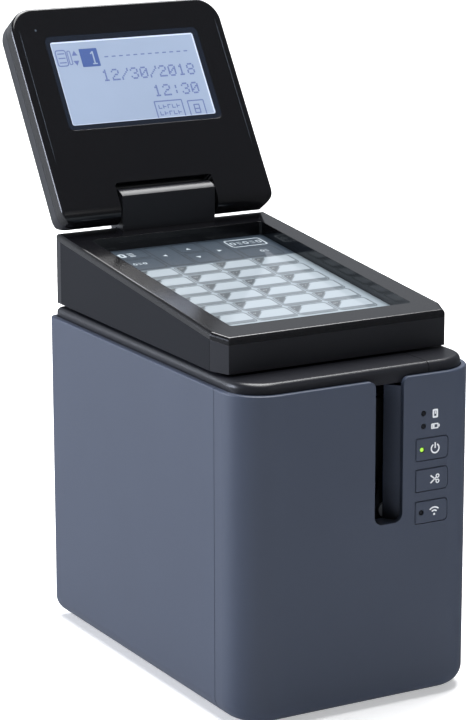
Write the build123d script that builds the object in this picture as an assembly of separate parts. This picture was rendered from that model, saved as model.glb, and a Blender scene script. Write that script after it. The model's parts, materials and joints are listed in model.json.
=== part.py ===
from build123d import *
import os
from math import atan2, cos, pi, radians, sin, sqrt

# A desktop label printer with a touch unit on its tape cover. Millimetres.
# X runs to the right seen from the front, Y to the back, Z up. The origin is the
# centre of the printer's footprint. Every piece is drawn with Z = 0 at the case's
# underside and lifted by foot_proud on export, so that the feet stand on Z = 0.

# --- Case ---
body_w = 118.0            # width, X
body_d = 181.6            # depth, Y
body_h = 143.7            # height of the grey covers
wall = 2.3                # wall of the covers
front_corner_r = 18.0     # upright front corners
rear_corner_r = 4.0       # upright rear corners
bottom_r = 8.0            # round along the bottom edge
top_edge_r = 0.8
seam = 0.3                # gap between neighbouring covers
front_wrap = 24.3         # how far the front cover wraps round the sides
side_wrap = 8.5           # how far a side cover wraps under the case
rear_wrap = 6.0           # how far a side cover wraps round the back
foot_proud = 1.5
foot_r = 6.0
foot_sink = 1.0           # depth of a foot's seat in the base
foot_inset_x = 17.0
foot_inset_y = 20.0

# --- Deck on top of the case: the tape cover and the fixed strip ---
deck_rise = 4.5           # height above the grey covers
deck_skirt = 2.5          # how far its skirt reaches down inside them
deck_gap = 0.4            # between the skirt and the covers
deck_wall = 2.0
deck_edge_r = 2.6
deck_split_x = 33.2       # joint between tape cover and fixed strip

# --- Label slot, buttons and lamps on the front ---
slot_x0 = 5.1
slot_x1 = 19.0
slot_z0 = 80.5
slot_corner_r = 4.0
slot_lip_r = 3.0          # rounded top corner beside the slot
chute_depth = 6.5
chute_wall = 1.4
tape_gap = 4.6            # width of the chute's inner end
button_x0 = 25.6
button_w = 16.0
button_h = 9.6
button_z = (110.9, 97.3, 83.1)     # power, cut, wireless
button_r = 1.8
button_gap = 0.3
button_proud = 0.3
button_travel = 0.8
button_t = 2.6
stem_r = 2.5
board_setback = 6.2       # from the front wall's inner face to the button board
board_below = 8.0         # board below the lowest button's centre
board_above = 7.0         # board above the upper lamp's centre
switch_h = 4.5            # tact switch with its plunger
switch_body_h = 3.5
switch_w = 6.0
plunger_r = 1.7
switch_gap = 0.1          # between a pressed stem and its plunger
lamp_r = 1.1
lamp_fit = 0.15
button_lamp_dx = 2.8      # lamp's distance from the button's left edge
lamps = ((29.1, 126.8), (29.1, 121.1))

# --- Cover release on the right side ---
release_y = -30.0
release_z = 129.5
release_h = 9.0
release_w = 22.0
release_proud = 0.4
slider_len = 9.5
slider_w = 10.0
slider_h = 6.0

# --- Inside: levels ---
post_r = 4.5
chassis_z = 74.0
chassis_t = 1.5
gear_z0 = 77.0
gear_t = 6.0
tub_z = 86.0
tub_t = 3.0
tub_wall = 1.6
flange_drop = 6.0         # from the top of the covers down to the tub's flange
flange_t = 2.0
board_z = 10.0
board_t = 1.6

# --- Tape path ---
tape_w = 36.0
tape_t = 0.3
tape_x = 12.2
tape_lift = 5.0           # tape's lower edge above the tub's floor
side_gap = 0.25           # between tape and print head or fixed blade
roller_gap = 0.15         # between tape and rollers
roller_side_gap = 0.9     # between the platen and the bay's right wall
platen_r = 6.3
feed_r = 5.75
shaft_r = 2.0
bore_gap = 0.05
roller_axis_y = -44.4
cassette_gap = 0.4

# --- Gears ---
module = 1.0
tooth_share = 0.43        # tooth thickness as a share of the pitch
teeth_motor, teeth_idler, teeth_platen, teeth_feed = 12, 24, 20, 18
teeth_ribbon_idler, teeth_takeup = 16, 20
teeth_sector, teeth_cutter = 40, 10

# --- Feed motor and cutter ---
feed_motor_r = 17.5
feed_motor_h = 22.0
idler_dx = 18.0           # idler's axis to the right of the platen's
cutter_pivot_x = 16.0
cutter_pivot_z = 84.0
cutter_open = 15.0        # degrees that the blade stands open at rest
cutter_mesh = 240.0       # direction from the pivot to the cutter's pinion, degrees
blade_t = 1.0
blade_gap = 0.1
cutter_setback = 10.3     # cutter's frame behind the front wall's inner face
cutter_frame_t = 1.0
cutter_motor_len = 26.0
pivot_r = 2.0
cutter_motor_r = 10.0

# --- Touch unit (wedge) on the tape cover ---
unit_lift = 1.1           # gap above the deck
unit_front_y = -69.5
unit_seam_y = -59.7       # front fascia to side panel
unit_side_end_y = 85.2    # side panel to rear part
unit_rear_y = 89.3
unit_half_front = 57.0
unit_half_rear = 55.0
unit_nose_half = 53.4     # half width of the fascia's flat front
unit_front_top = 164.9
unit_rear_top = 182.1
unit_wall = 2.0
unit_edge_r = 1.6
bezel_t = 3.2
recess_t = 6.3            # from the bezel's top down to the glass
recess_wall = 1.5
window_half = 45.0
window_y0 = -56.0
window_y1 = 74.0
glass_t = 1.2
glass_lap = 3.0
key_board_t = 1.6
key_board_lap = 1.0
unit_post_h = 7.0         # screw posts above the unit's underside

# --- Display ---
hinge_y = 88.0
hinge_z = 190.4
display_half = 55.5
display_top = 101.8       # above the hinge axis, along the display
display_t = 14.4
display_lean = 33.1       # degrees back from upright
display_top_r = 12.0
display_bottom_r = 8.0
display_edge_r = 1.5
display_wall = 2.0
display_seam = 0.2
notch_half = 25.5
notch_gap = 0.9           # over the knuckle
knuckle_r = 9.4
knuckle_half = 24.3
knuckle_front_y = 82.0
display_pin_r = 2.5
display_pin_len = 34.0
lcd_half = 40.5
lcd_z0 = 38.2
lcd_z1 = 86.6
lcd_glass_t = 1.0

# --- Tape cover's hinge ---
cover_hinge_z = 146.7
cover_hinge_in = 2.6      # axis in front of the case's rear face
cover_knuckle_r = 2.5
cover_pin_r = 1.2
cover_knuckle_len = 10.0
cover_hinge_x = (-42.0, 8.0)

screw_r = 1.5
screw_head_r = 2.8
screw_head_t = 1.8
screw_sink = 2.0          # counterbore in the tub's floor
pilot_r = 1.5

# --- Worked out ---
half_w = body_w / 2
half_d = body_d / 2
front_y = -half_d
rear_y = half_d
chute_end_y = front_y + wall + chute_depth
seam_y = front_y + front_wrap
deck_inset = wall + deck_gap
deck_z0 = body_h - deck_skirt
deck_z1 = body_h + deck_rise
deck_under = deck_z1 - deck_wall
unit_z0 = deck_z1 + unit_lift
slope = (unit_rear_top - unit_front_top) / (unit_rear_y - unit_front_y)
flange_z1 = body_h - flange_drop
tub_floor = tub_z + tub_t
tape_z0 = tub_floor + tape_lift
tape_z1 = tape_z0 + tape_w
cover_hinge_y = rear_y - cover_hinge_in
display_r = display_t / 2
notch_top = knuckle_r + notch_gap
board_y = front_y + wall + board_setback
cutter_y = front_y + wall + cutter_setback
fixed_edge_x = tape_x - tape_t / 2 - side_gap
button_x1 = button_x0 + button_w

BOTTOM = (Align.CENTER, Align.CENTER, Align.MIN)


# ---------------------------------------------------------------- basic shapes
def block(x0, x1, y0, y1, z0, z1):
    """A box between two corners."""
    return Pos((x0 + x1) / 2, (y0 + y1) / 2, (z0 + z1) / 2) * Box(x1 - x0, y1 - y0, z1 - z0)


def rod_z(r, x, y, z0, z1):
    """A cylinder along Z."""
    return Pos(x, y, z0) * Cylinder(r, z1 - z0, align=BOTTOM)


def rod_y(r, x, z, y0, y1):
    """A cylinder along Y."""
    return Pos(x, y0, z) * Rot(-90, 0, 0) * Cylinder(r, y1 - y0, align=BOTTOM)


def rod_x(r, y, z, x0, x1):
    """A cylinder along X."""
    return Pos(x0, y, z) * Rot(0, 90, 0) * Cylinder(r, x1 - x0, align=BOTTOM)


def prism_x(points, x0, x1):
    """An outline in Y and Z, carried along X."""
    return extrude(Plane.YZ.offset(x0) * make_face(Polyline(*points, close=True)), amount=x1 - x0)


def prism_y(points, y0, y1):
    """An outline in X and Z, carried along Y."""
    return extrude(Plane.XZ.offset(-y1) * make_face(Polyline(*points, close=True)), amount=y1 - y0)


def prism_z(points, z0, z1):
    """An outline in X and Y, carried along Z."""
    return extrude(Plane.XY.offset(z0) * make_face(Polyline(*points, close=True)), amount=z1 - z0)


def ring_z(r_out, r_in, x, y, z0, z1):
    """A tube along Z."""
    return rod_z(r_out, x, y, z0, z1) - rod_z(r_in, x, y, z0 - 1, z1 + 1)


def edges_at(shape, axis, value, flat=True):
    """Edges whose centre lies at a value of X, Y or Z (axis 0, 1 or 2)."""
    picked = []
    for edge in shape.edges():
        low, high = edge.bounding_box().min, edge.bounding_box().max
        reach = tuple(high)[axis] - tuple(low)[axis]
        if abs(tuple(edge.center())[axis] - value) < 0.01 and (not flat or reach < 0.01):
            picked.append(edge)
    return picked


def group(pieces):
    """Separate solids in one node."""
    solids = []
    for piece in pieces:
        solids += piece.solids()
    return Compound(children=solids)


def screw_z(x, y, z, length, down=True):
    """A pan-head screw along Z with its head's seat at z."""
    way = -1 if down else 1
    head = rod_z(screw_head_r, x, y, min(z, z - way * screw_head_t), max(z, z - way * screw_head_t))
    shank = rod_z(screw_r, x, y, min(z, z + way * length), max(z, z + way * length))
    return head + shank


# ---------------------------------------------------------------------- gears
def gear_outline(teeth, share, first_angle, sector=None):
    """Points of a spur gear's outline with straight-flanked, thinned teeth."""
    pitch_r = module * teeth / 2
    tip_r = pitch_r + 0.85 * module
    root_r = pitch_r - 1.15 * module
    pitch_half = share * pi / teeth
    root_half = pitch_half * 1.5
    tip_half = pitch_half * 0.42
    points = []
    for tooth in range(teeth) if sector is None else sector:
        middle = first_angle + 2 * pi * tooth / teeth
        for r, offset in ((root_r, -root_half), (pitch_r, -pitch_half), (tip_r, -tip_half),
                          (tip_r, tip_half), (pitch_r, pitch_half), (root_r, root_half)):
            points.append((r * cos(middle + offset), r * sin(middle + offset)))
    return points


def gear_z(teeth, x, y, z0, z1, first_angle, bore_r):
    """A spur gear along Z."""
    points = [(x + u, y + v) for u, v in gear_outline(teeth, tooth_share, first_angle)]
    return prism_z(points, z0, z1) - rod_z(bore_r, x, y, z0 - 1, z1 + 1)


def meshed(first, teeth_a, teeth_b, way):
    """First tooth's angle on gear b that meshes with gear a, whose own is first."""
    return way + pi + pi / teeth_b - (teeth_a / teeth_b) * (first - way)


# Shaft places, from the tape plane and the gears' centre distances.
platen_x = tape_x + tape_t / 2 + roller_gap + platen_r
platen_y = roller_axis_y
feed_x = tape_x + tape_t / 2 + roller_gap + feed_r
gap_platen = module * (teeth_idler + teeth_platen) / 2
gap_feed = module * (teeth_idler + teeth_feed) / 2
gap_motor = module * (teeth_idler + teeth_motor) / 2
gap_ribbon = module * (teeth_platen + teeth_ribbon_idler) / 2
gap_takeup = module * (teeth_ribbon_idler + teeth_takeup) / 2
idler_x = platen_x + idler_dx
idler_y = platen_y - sqrt(gap_platen ** 2 - (idler_x - platen_x) ** 2)
feed_y = idler_y - sqrt(gap_feed ** 2 - (idler_x - feed_x) ** 2)
motor_x = idler_x
motor_y = idler_y + gap_motor
ribbon_x = platen_x - gap_ribbon
takeup_x = ribbon_x - gap_takeup
takeup_y = platen_y
spool_x = -37.0
spool_y = platen_y
roll_x = -13.0
roll_y = 9.0
roll_r = 24.0
cassette_z0 = tub_floor + 0.3
cassette_z1 = tape_z1 + 4.0
cassette_mid = cassette_z0 + 24.0
bay_x0, bay_y0, bay_y1 = -52.0, -64.0, 48.0
bay_x1 = platen_x + platen_r + roller_side_gap
nose_y = -33.0
nose_x1 = 11.0
head_slot = (1.5, -56.0, -36.0)    # left wall and ends of the print head's slot
bracket_z = tape_z1 + 2.0
cutter_gap_xz = module * (teeth_sector + teeth_cutter) / 2
cutter_pinion_x = cutter_pivot_x + cutter_gap_xz * cos(radians(cutter_mesh))
cutter_pinion_z = cutter_pivot_z + cutter_gap_xz * sin(radians(cutter_mesh))
fixed_y = cutter_y - blade_t
moving_y = fixed_y - blade_gap - blade_t
posts = ((-46.0, -58.0), (-46.0, 56.0), (46.0, 56.0), (46.0, -15.0))


# ---------------------------------------------------------------- case covers
def case_form(inset, z0, z1, top_r=0.0):
    """The case's outer form, or its hollow when inset by the wall."""
    w, d = half_w - inset, half_d - inset
    form = block(-w, w, -d, d, z0, z1)
    uprights = [e for e in form.edges().filter_by(Axis.Z) if e.center().Y < 0]
    form = fillet(uprights, front_corner_r - inset)
    form = fillet(edges_at(form, 2, z0), bottom_r - inset)
    back = [e for e in form.edges() if abs(e.center().X) > w - bottom_r and e.center().Y > d - bottom_r]
    back = [e for e in back if e.bounding_box().size.Z > 1 and e.center().Z > z0 + 0.1]
    form = fillet(back, rear_corner_r - inset)
    if top_r:
        form = fillet(edges_at(form, 2, z1), top_r)
    return form


def case_regions():
    """The boxes that part the case into its covers."""
    far = body_w + body_d + body_h
    side_x = half_w - side_wrap
    s = seam / 2
    rear_zone = rear_y - rear_wrap - bottom_r
    return {
        "front_cover": block(-far, far, -far, seam_y - s, -far, far),
        "left_side_cover": block(-far, -side_x - s, seam_y + s, far, -far, far),
        "right_side_cover": block(side_x + s, far, seam_y + s, far, -far, far),
        "rear_cover": block(-side_x + s, side_x - s, rear_zone + s, far, -far, far),
        "base_cover": block(-side_x + s, side_x - s, seam_y + s, rear_zone - s, -far, far),
    }


def slot_cut():
    """The label slot, open at the top, with rounded corners."""
    y0, y1 = front_y - 5, front_y + 8
    cut = block(slot_x0, slot_x1, y0, y1, slot_z0, body_h + 5)
    low = [e for e in cut.edges().filter_by(Axis.Y) if e.center().Z < slot_z0 + 1]
    cut = fillet(low, slot_corner_r)
    for x, way in ((slot_x0, -1), (slot_x1, 1)):
        lip = block(min(x, x + way * slot_lip_r), max(x, x + way * slot_lip_r),
                    y0, y1, body_h - slot_lip_r, body_h + 5)
        lip -= rod_y(slot_lip_r, x + way * slot_lip_r, body_h - slot_lip_r, y0 - 1, y1 + 1)
        cut += lip
    return cut


def chute():
    """The guide behind the label slot: straight left wall, hollow curved right wall."""
    y0, y1 = front_y + wall, chute_end_y
    left_in = tape_x - tape_gap / 2
    right_in = tape_x + tape_gap / 2
    z0, z1 = slot_z0 - 2.0, body_h - flange_drop + flange_t
    outline = [(slot_x0 - chute_wall, y0), (left_in - chute_wall, y1),
               (right_in + chute_wall, y1), (slot_x1 + chute_wall, y0)]
    guide = prism_z(outline, z0, z1)
    space = prism_z([(slot_x0, y0 - 1), (slot_x0, y0), (left_in, y1), (left_in, y1 + 1), (right_in, y1 + 1),
                     (right_in, y1), (slot_x1, y0), (slot_x1, y0 - 1)], slot_z0, z1 + 1)
    return guide - space


def button_window(z, grow):
    """A button's outline through the front wall, square at the left, round at the right."""
    form = block(button_x0 - grow, button_x1 + grow, front_y - 3, front_y + wall + 3,
                 z - button_h / 2 - grow, z + button_h / 2 + grow)
    right = [e for e in form.edges().filter_by(Axis.Y) if e.center().X > button_x0 + 1]
    form = fillet(right, button_r + grow)
    left = [e for e in form.edges().filter_by(Axis.Y) if e.center().X < button_x0 + 1]
    return fillet(left, 0.5 + grow)


def lamp_places():
    """Centres of the four lamps on the front."""
    beside = [(button_x0 + button_lamp_dx, z) for z in (button_z[0], button_z[2])]
    return list(lamps) + beside


def socket_places():
    """The sockets on the rear: name, centre X, width, lowest Z, height."""
    z = board_z + board_t
    return {"power_inlet": (-34.0, 12.0, z, 11.0), "usb_socket": (-16.0, 12.2, z, 11.0),
            "host_socket": (4.0, 14.6, z, 7.0), "network_socket": (28.0, 16.4, z, 13.6)}


def covers():
    """The grey covers: front, left, right, rear and base."""
    shell = case_form(0, 0, body_h, top_edge_r) - case_form(wall, wall, body_h + bottom_r * 2)
    made = {name: shell & region for name, region in case_regions().items()}
    front = made["front_cover"] - slot_cut() + chute()
    for z in button_z:
        front -= button_window(z, button_gap)
    for x, z in lamps:
        front -= rod_y(lamp_r + lamp_fit, x, z, front_y - 1, front_y + wall + 1)
    made["front_cover"] = front
    rear = made["rear_cover"]
    for name, (x, w, z, h) in socket_places().items():
        rear -= block(x - w / 2 - 0.4, x + w / 2 + 0.4, rear_y - wall - 1, rear_y + 1, z - 0.4, z + h + 0.4)
    for x in cover_hinge_x:
        x0, x1 = x, x + cover_knuckle_len
        web = block(x0, x1, cover_hinge_y - 1.2, rear_y, body_h - 4.5, cover_hinge_z)
        ear = web + rod_x(cover_knuckle_r, cover_hinge_y, cover_hinge_z, x0, x1)
        rear += ear
        rear -= rod_x(cover_pin_r, cover_hinge_y, cover_hinge_z, x0 - 1, x1 + 1)
    made["rear_cover"] = rear
    base = made["base_cover"]
    for x, y in posts:
        base += rod_z(post_r, x, y, wall / 2, chassis_z)
        base -= rod_z(pilot_r, x, y, chassis_z - 12, chassis_z + 1)
    for x, y in standoffs():
        base += rod_z(3.0, x, y, wall / 2, board_z)
        base -= rod_z(pilot_r, x, y, wall + 1, board_z + 1)
    for x, y in foot_places():
        base -= rod_z(foot_r, x, y, -1, foot_sink)
    made["base_cover"] = base
    return made


def standoffs():
    """Where the main board is screwed to the base."""
    return ((-36.0, -22.0), (36.0, -22.0), (-36.0, 62.0), (36.0, 62.0))


def foot_places():
    """Centres of the four rubber feet."""
    x = half_w - foot_inset_x
    rows = (seam_y + foot_inset_y / 2, rear_y - foot_inset_y - bottom_r)
    return [(sx * x, y) for sx in (-1, 1) for y in rows]


def feet():
    """Four rubber feet in shallow seats."""
    made = []
    for x, y in foot_places():
        foot = rod_z(foot_r, x, y, -foot_proud, foot_sink)
        made.append(fillet(edges_at(foot, 2, -foot_proud), 0.5))
    return group(made)


# ----------------------------------------------------------------------- deck
def deck_form(inset, z0, z1, edge_r=0.0):
    """The black deck's outline inside the covers."""
    w, d = half_w - inset, half_d - inset
    form = block(-w, w, -d, d, z0, z1)
    uprights = [e for e in form.edges().filter_by(Axis.Z) if e.center().Y < 0]
    form = fillet(uprights, front_corner_r - inset)
    back = [e for e in form.edges().filter_by(Axis.Z) if e.center().Y > d - 1]
    form = fillet(back, max(rear_corner_r - inset, 0.6))
    if edge_r:
        form = fillet(edges_at(form, 2, z1), edge_r)
    return form


def cover_ears():
    """X ranges of the tape cover's own knuckles, beside the case's."""
    return [(x + cover_knuckle_len + seam, x + 2 * cover_knuckle_len) for x in cover_hinge_x]


def deck():
    """The tape cover and the fixed strip beside it."""
    far = body_w + body_d
    split0, split1 = deck_split_x - seam / 2, deck_split_x + seam / 2
    outer = deck_form(deck_inset, deck_z0, deck_z1, deck_edge_r)
    inner = deck_form(deck_inset + deck_wall, deck_z0 - 1, deck_under)
    left = outer & block(-far, split0, -far, far, -far, far)
    left -= inner & block(-far, split0 - deck_wall, -far, far, -far, far)
    right = outer & block(split1, far, -far, far, -far, far)
    right -= inner & block(split1 + deck_wall, far, -far, far, -far, far)
    clear = cover_knuckle_r + 0.6
    for x in cover_hinge_x:
        left -= rod_x(clear, cover_hinge_y, cover_hinge_z, x - seam, x + cover_knuckle_len + seam)
        left -= block(x - seam, x + cover_knuckle_len + seam, cover_hinge_y - clear, rear_y,
                      deck_z0 - 1, cover_hinge_z)
    for x0, x1 in cover_ears():
        left += rod_x(cover_knuckle_r - 0.2, cover_hinge_y, cover_hinge_z, x0, x1)
        left += block(x0, x1, cover_hinge_y - 4.5, cover_hinge_y, cover_hinge_z - 1.2, deck_z1 - 0.4)
        left -= rod_x(cover_pin_r + bore_gap, cover_hinge_y, cover_hinge_z, x0 - 1, x1 + 1)
    catch_x = split0 - 8.0
    left += block(catch_x, catch_x + 6.0, front_y + 26, front_y + 28, body_h - 5.0, deck_under + 0.5)
    for x, y in deck_bosses():
        right += rod_z(3.2, x, y, flange_z1, deck_under + 0.5)
        right -= rod_z(pilot_r, x, y, flange_z1 - 1, deck_under - 1)
    return {"tape_cover": left, "deck_strip": right}


def deck_bosses():
    """Where the fixed strip stands on the tub's flange."""
    return ((44.0, -60.0), (44.0, 70.0))


def cover_hinge_pins():
    """Steel pins pressed in the case's ears."""
    made = []
    for x in cover_hinge_x:
        made.append(rod_x(cover_pin_r, cover_hinge_y, cover_hinge_z, x, x + 2 * cover_knuckle_len))
    return group(made)


# --------------------------------------------------------------- inner frame
def inner_outline(gap):
    """The space inside the covers seen from above, for plates that reach them."""
    w, d = half_w - wall - gap, half_d - wall - gap
    return w, d


def chassis():
    """Steel plate that carries the motors, gears and the tub's posts."""
    plate = block(-50.0, 52.0, -66.0, 62.0, chassis_z, chassis_z + chassis_t)
    plate = fillet(plate.edges().filter_by(Axis.Z), 4.0)
    plate -= rod_z(5.0, motor_x, motor_y, chassis_z - 1, chassis_z + 3)
    for x, y in posts:
        plate -= rod_z(screw_r + 0.2, x, y, chassis_z - 1, chassis_z + 3)
    for x, y in gear_pins():
        plate += rod_z(shaft_r, x, y, chassis_z + chassis_t / 2, gear_z0 + gear_t + 1.0)
    for x, y, r in bearings():
        plate += rod_z(r + 2.0, x, y, chassis_z + chassis_t / 2, gear_z0 - 0.1)
        plate -= rod_z(r + bore_gap, x, y, chassis_z - 1, gear_z0)
    for x, y in tub_posts():
        plate += rod_z(3.5, x, y, chassis_z + chassis_t / 2, tub_z)
        plate -= rod_z(pilot_r, x, y, chassis_z + 3, tub_z + 1)
    return plate


def gear_pins():
    """Fixed steel pins for the two idlers."""
    return ((idler_x, idler_y), (ribbon_x, platen_y))


def bearings():
    """Bushes in the chassis for the turning shafts: X, Y, shaft radius."""
    return ((platen_x, platen_y, shaft_r), (feed_x, feed_y, shaft_r), (takeup_x, takeup_y, shaft_r))


def tub_posts():
    """Posts between the chassis and the tub."""
    return ((-46.0, -48.0), (-44.0, 40.0), (18.0, 40.0))


def tub():
    """Cassette bay with a floor, walls and a flange under the covers' rim."""
    w, d = inner_outline(0.3)
    flange = block(-w, w, -d, d, flange_z1 - flange_t, flange_z1)
    uprights = [e for e in flange.edges().filter_by(Axis.Z) if e.center().Y < 0]
    flange = fillet(uprights, front_corner_r - wall)
    uprights = [e for e in flange.edges().filter_by(Axis.Z) if e.center().Y > 0]
    flange = fillet(uprights, 1.5)
    body = block(bay_x0 - tub_wall, bay_x1 + tub_wall, bay_y0 - tub_wall, bay_y1 + tub_wall, tub_z, flange_z1)
    body += flange
    body -= block(bay_x0, bay_x1, bay_y0, bay_y1, tub_floor, flange_z1 + 1)
    # Roller bay: open floor round the rollers and through to the chute.
    body -= block(tape_x - 2.5, bay_x1 - 0.5, feed_y - 9.0, platen_y + 9.0, tub_z - 1, flange_z1 + 1)
    body -= block(slot_x0 - 4.5, bay_x1 + 8, front_y, bay_y0 + 0.1, tub_z - 1, flange_z1 + 1)
    for x, y in tub_posts():
        body -= rod_z(screw_r + 0.2, x, y, tub_z - 1, tub_floor + 1)
        body -= rod_z(screw_head_r + 0.3, x, y, tub_floor - screw_sink, tub_floor + 1)
    body -= rod_z(shaft_r + 1.0, takeup_x, takeup_y, tub_z - 1, tub_floor + 1)
    body -= block(button_x0 - 5, button_x1 + 10, front_y, front_y + 16, flange_z1 - 5, flange_z1 + 1)
    return body


def roller_bracket():
    """Steel plate over the rollers, with a flange against the tub's wall."""
    z0, z1 = bracket_z, bracket_z + 2.0
    x0, x1 = tape_x + 1.8, bay_x1
    plate = block(x0, x1, feed_y - 6.0, platen_y + 8.5, z0, z1)
    for x, y in ((platen_x, platen_y), (feed_x, feed_y)):
        plate -= rod_z(shaft_r + bore_gap, x, y, z0 - 1, z1 + 1)
    flange = block(x1 - 1.4, x1, feed_y - 2.0, platen_y + 8.5, z0, z0 + 5.0)
    return plate + flange


def head():
    """Thermal print head's ceramic strip and its aluminium holder."""
    x1 = fixed_edge_x
    y = platen_y
    strip = block(x1 - 1.0, x1, y - 4.0, y + 4.0, tape_z0 - 2.0, tape_z1 + 2.0)
    back = x1 - 1.0
    holder = block(back - 2.5, back, y - 7.0, y + 7.0, tub_floor, tape_z1 + 2.0)
    holder += block(back - 2.5, back + 0.8, y - 7.0, y + 7.0, tub_floor, tub_floor + 2.0)
    return {"print_head": strip, "head_holder": holder}


# ------------------------------------------------------------------ cassette
def cassette():
    """Two-part tape cassette with a slot for the print head."""
    g = cassette_gap
    points = [(bay_x0 + g, bay_y0 + g + 1.2), (nose_x1, bay_y0 + g + 1.2), (nose_x1, nose_y),
              (bay_x1 - g - 1.2, nose_y), (bay_x1 - g - 1.2, bay_y1 - g), (bay_x0 + g, bay_y1 - g)]
    form = prism_z(points, cassette_z0, cassette_z1)
    form = fillet([e for e in form.edges().filter_by(Axis.Z) if e.center().X < 0 or e.center().Y > 0], 3.0)
    inside = [(points[0][0] + 1.4, points[0][1] + 1.4), (nose_x1 - 1.4, points[0][1] + 1.4),
              (nose_x1 - 1.4, nose_y + 1.4), (points[3][0] - 1.4, nose_y + 1.4),
              (points[3][0] - 1.4, points[4][1] - 1.4), (points[0][0] + 1.4, points[4][1] - 1.4)]
    hollow = prism_z(inside, cassette_z0 + 1.4, cassette_z1 - 1.4)
    x0, y0, y1 = head_slot
    pocket = block(x0 - 1.2, nose_x1 + 1, y0 - 1.2, y1 + 1.2, cassette_z0 - 1, cassette_z1 + 1)
    free = block(x0, nose_x1 + 1, y0, y1, cassette_z0 - 1, cassette_z1 + 1)
    shell = (form - hollow) + ((pocket & form) - free)
    shell -= free
    mouth = block(tape_x - 1.0, tape_x + 1.0, nose_y - 1, nose_y + 2.4, tape_z0 - 0.5, tape_z1 + 0.5)
    shell -= mouth
    for x, y, r in ((roll_x, roll_y, 3.0), (spool_x, spool_y, 2.2)):
        shell += rod_z(r, x, y, cassette_z0 + 0.5, cassette_z1 - 0.5)
    hole_r = 5.0
    for z0, z1 in ((cassette_z0 - 1, cassette_z0 + 2), (cassette_z1 - 2, cassette_z1 + 1)):
        shell -= rod_z(hole_r, takeup_x, takeup_y, z0, z1)
    far = body_w + body_d
    lower = shell & block(-far, far, -far, far, -far, cassette_mid - 0.05)
    upper = shell & block(-far, far, -far, far, cassette_mid + 0.05, far)
    # Ribs and a window frame on the top face.
    for x in (-38.0, -32.0, -26.0):
        upper += block(x, x + 2.5, bay_y1 - 16, bay_y1 - 4, cassette_z1 - 0.1, cassette_z1 + 0.6)
    return {"cassette_lower": lower, "cassette_upper": upper}


def tape():
    """The laminated tape from the cassette's mouth to the cutter."""
    return block(tape_x - tape_t / 2, tape_x + tape_t / 2, cutter_y + 1.5, nose_y + 1.0, tape_z0, tape_z1)


def spools():
    """Tape roll, ribbon supply spool and ribbon take-up spool."""
    z0, z1 = tape_z0, tape_z1
    roll = ring_z(roll_r, 3.0 + bore_gap + 0.2, roll_x, roll_y, z0, z1)
    supply = ring_z(7.0, 2.2 + bore_gap + 0.2, spool_x, spool_y, z0, z1)
    for z in (z0 - 1.2, z1):
        supply += ring_z(9.0, 2.2 + bore_gap + 0.2, spool_x, spool_y, z, z + 1.2)
    core = ring_z(6.5, 4.0, takeup_x, takeup_y, z0, z1)
    for z in (z0 - 1.2, z1):
        core += ring_z(8.5, 4.0, takeup_x, takeup_y, z, z + 1.2)
    for k in range(6):
        rib = Pos(takeup_x, takeup_y, 0) * Rot(0, 0, 60 * k) * block(3.2, 4.4, -0.5, 0.5, z0, z1)
        core += rib
    return {"tape_roll": roll, "ribbon_spool": supply, "takeup_spool": core}


# --------------------------------------------------------------- gear train
def roller(x, y, r, teeth, angle):
    """Steel shaft, rubber sleeve and plastic gear of one roller."""
    shaft = rod_z(shaft_r, x, y, chassis_z + 0.3, bracket_z + 2.5)
    sleeve = ring_z(r, shaft_r, x, y, tape_z0 - 1.0, tape_z1 + 1.0)
    gear = gear_z(teeth, x, y, gear_z0, gear_z0 + gear_t, angle, shaft_r)
    return shaft, sleeve, gear


def gear_train():
    """Motor pinion, idlers, both rollers and the take-up spindle, all in mesh."""
    z0, z1 = gear_z0, gear_z0 + gear_t
    way_platen = atan2(platen_y - idler_y, platen_x - idler_x)
    way_feed = atan2(feed_y - idler_y, feed_x - idler_x)
    way_motor = atan2(motor_y - idler_y, motor_x - idler_x)
    idler_a = 0.0
    platen_a = meshed(idler_a, teeth_idler, teeth_platen, way_platen)
    feed_a = meshed(idler_a, teeth_idler, teeth_feed, way_feed)
    motor_a = meshed(idler_a, teeth_idler, teeth_motor, way_motor)
    ribbon_a = meshed(platen_a, teeth_platen, teeth_ribbon_idler, pi)
    takeup_a = meshed(ribbon_a, teeth_ribbon_idler, teeth_takeup, pi)
    made = {}
    parts = roller(platen_x, platen_y, platen_r, teeth_platen, platen_a)
    made["platen_shaft"], made["platen_rubber"], made["platen_gear"] = parts
    parts = roller(feed_x, feed_y, feed_r, teeth_feed, feed_a)
    made["feed_shaft"], made["feed_rubber"], made["feed_gear"] = parts
    pin_bore = shaft_r + bore_gap
    made["idler_gear"] = gear_z(teeth_idler, idler_x, idler_y, z0, z1, idler_a, pin_bore)
    made["ribbon_idler_gear"] = gear_z(teeth_ribbon_idler, ribbon_x, platen_y, z0, z1, ribbon_a, pin_bore)
    pinion = gear_z(teeth_motor, motor_x, motor_y, z0, z1, motor_a, shaft_r / 2)
    made["motor_pinion"] = pinion + rod_z(shaft_r, motor_x, motor_y, chassis_z - 14.0, z1 + 0.5)
    spindle = gear_z(teeth_takeup, takeup_x, takeup_y, z0, z1, takeup_a, 0.5)
    spindle += rod_z(shaft_r, takeup_x, takeup_y, chassis_z + 0.3, cassette_z1 + 1.0)
    spindle += rod_z(2.9, takeup_x, takeup_y, cassette_z0 + 1.5, cassette_z1 + 1.0)
    for k in range(6):
        rib = Pos(takeup_x, takeup_y, 0) * Rot(0, 0, 30 + 60 * k)
        spindle += rib * block(2.5, 3.8, -0.5, 0.5, cassette_z0 + 1.5, cassette_z1 + 0.5)
    made["takeup_spindle"] = spindle
    return made


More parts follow.
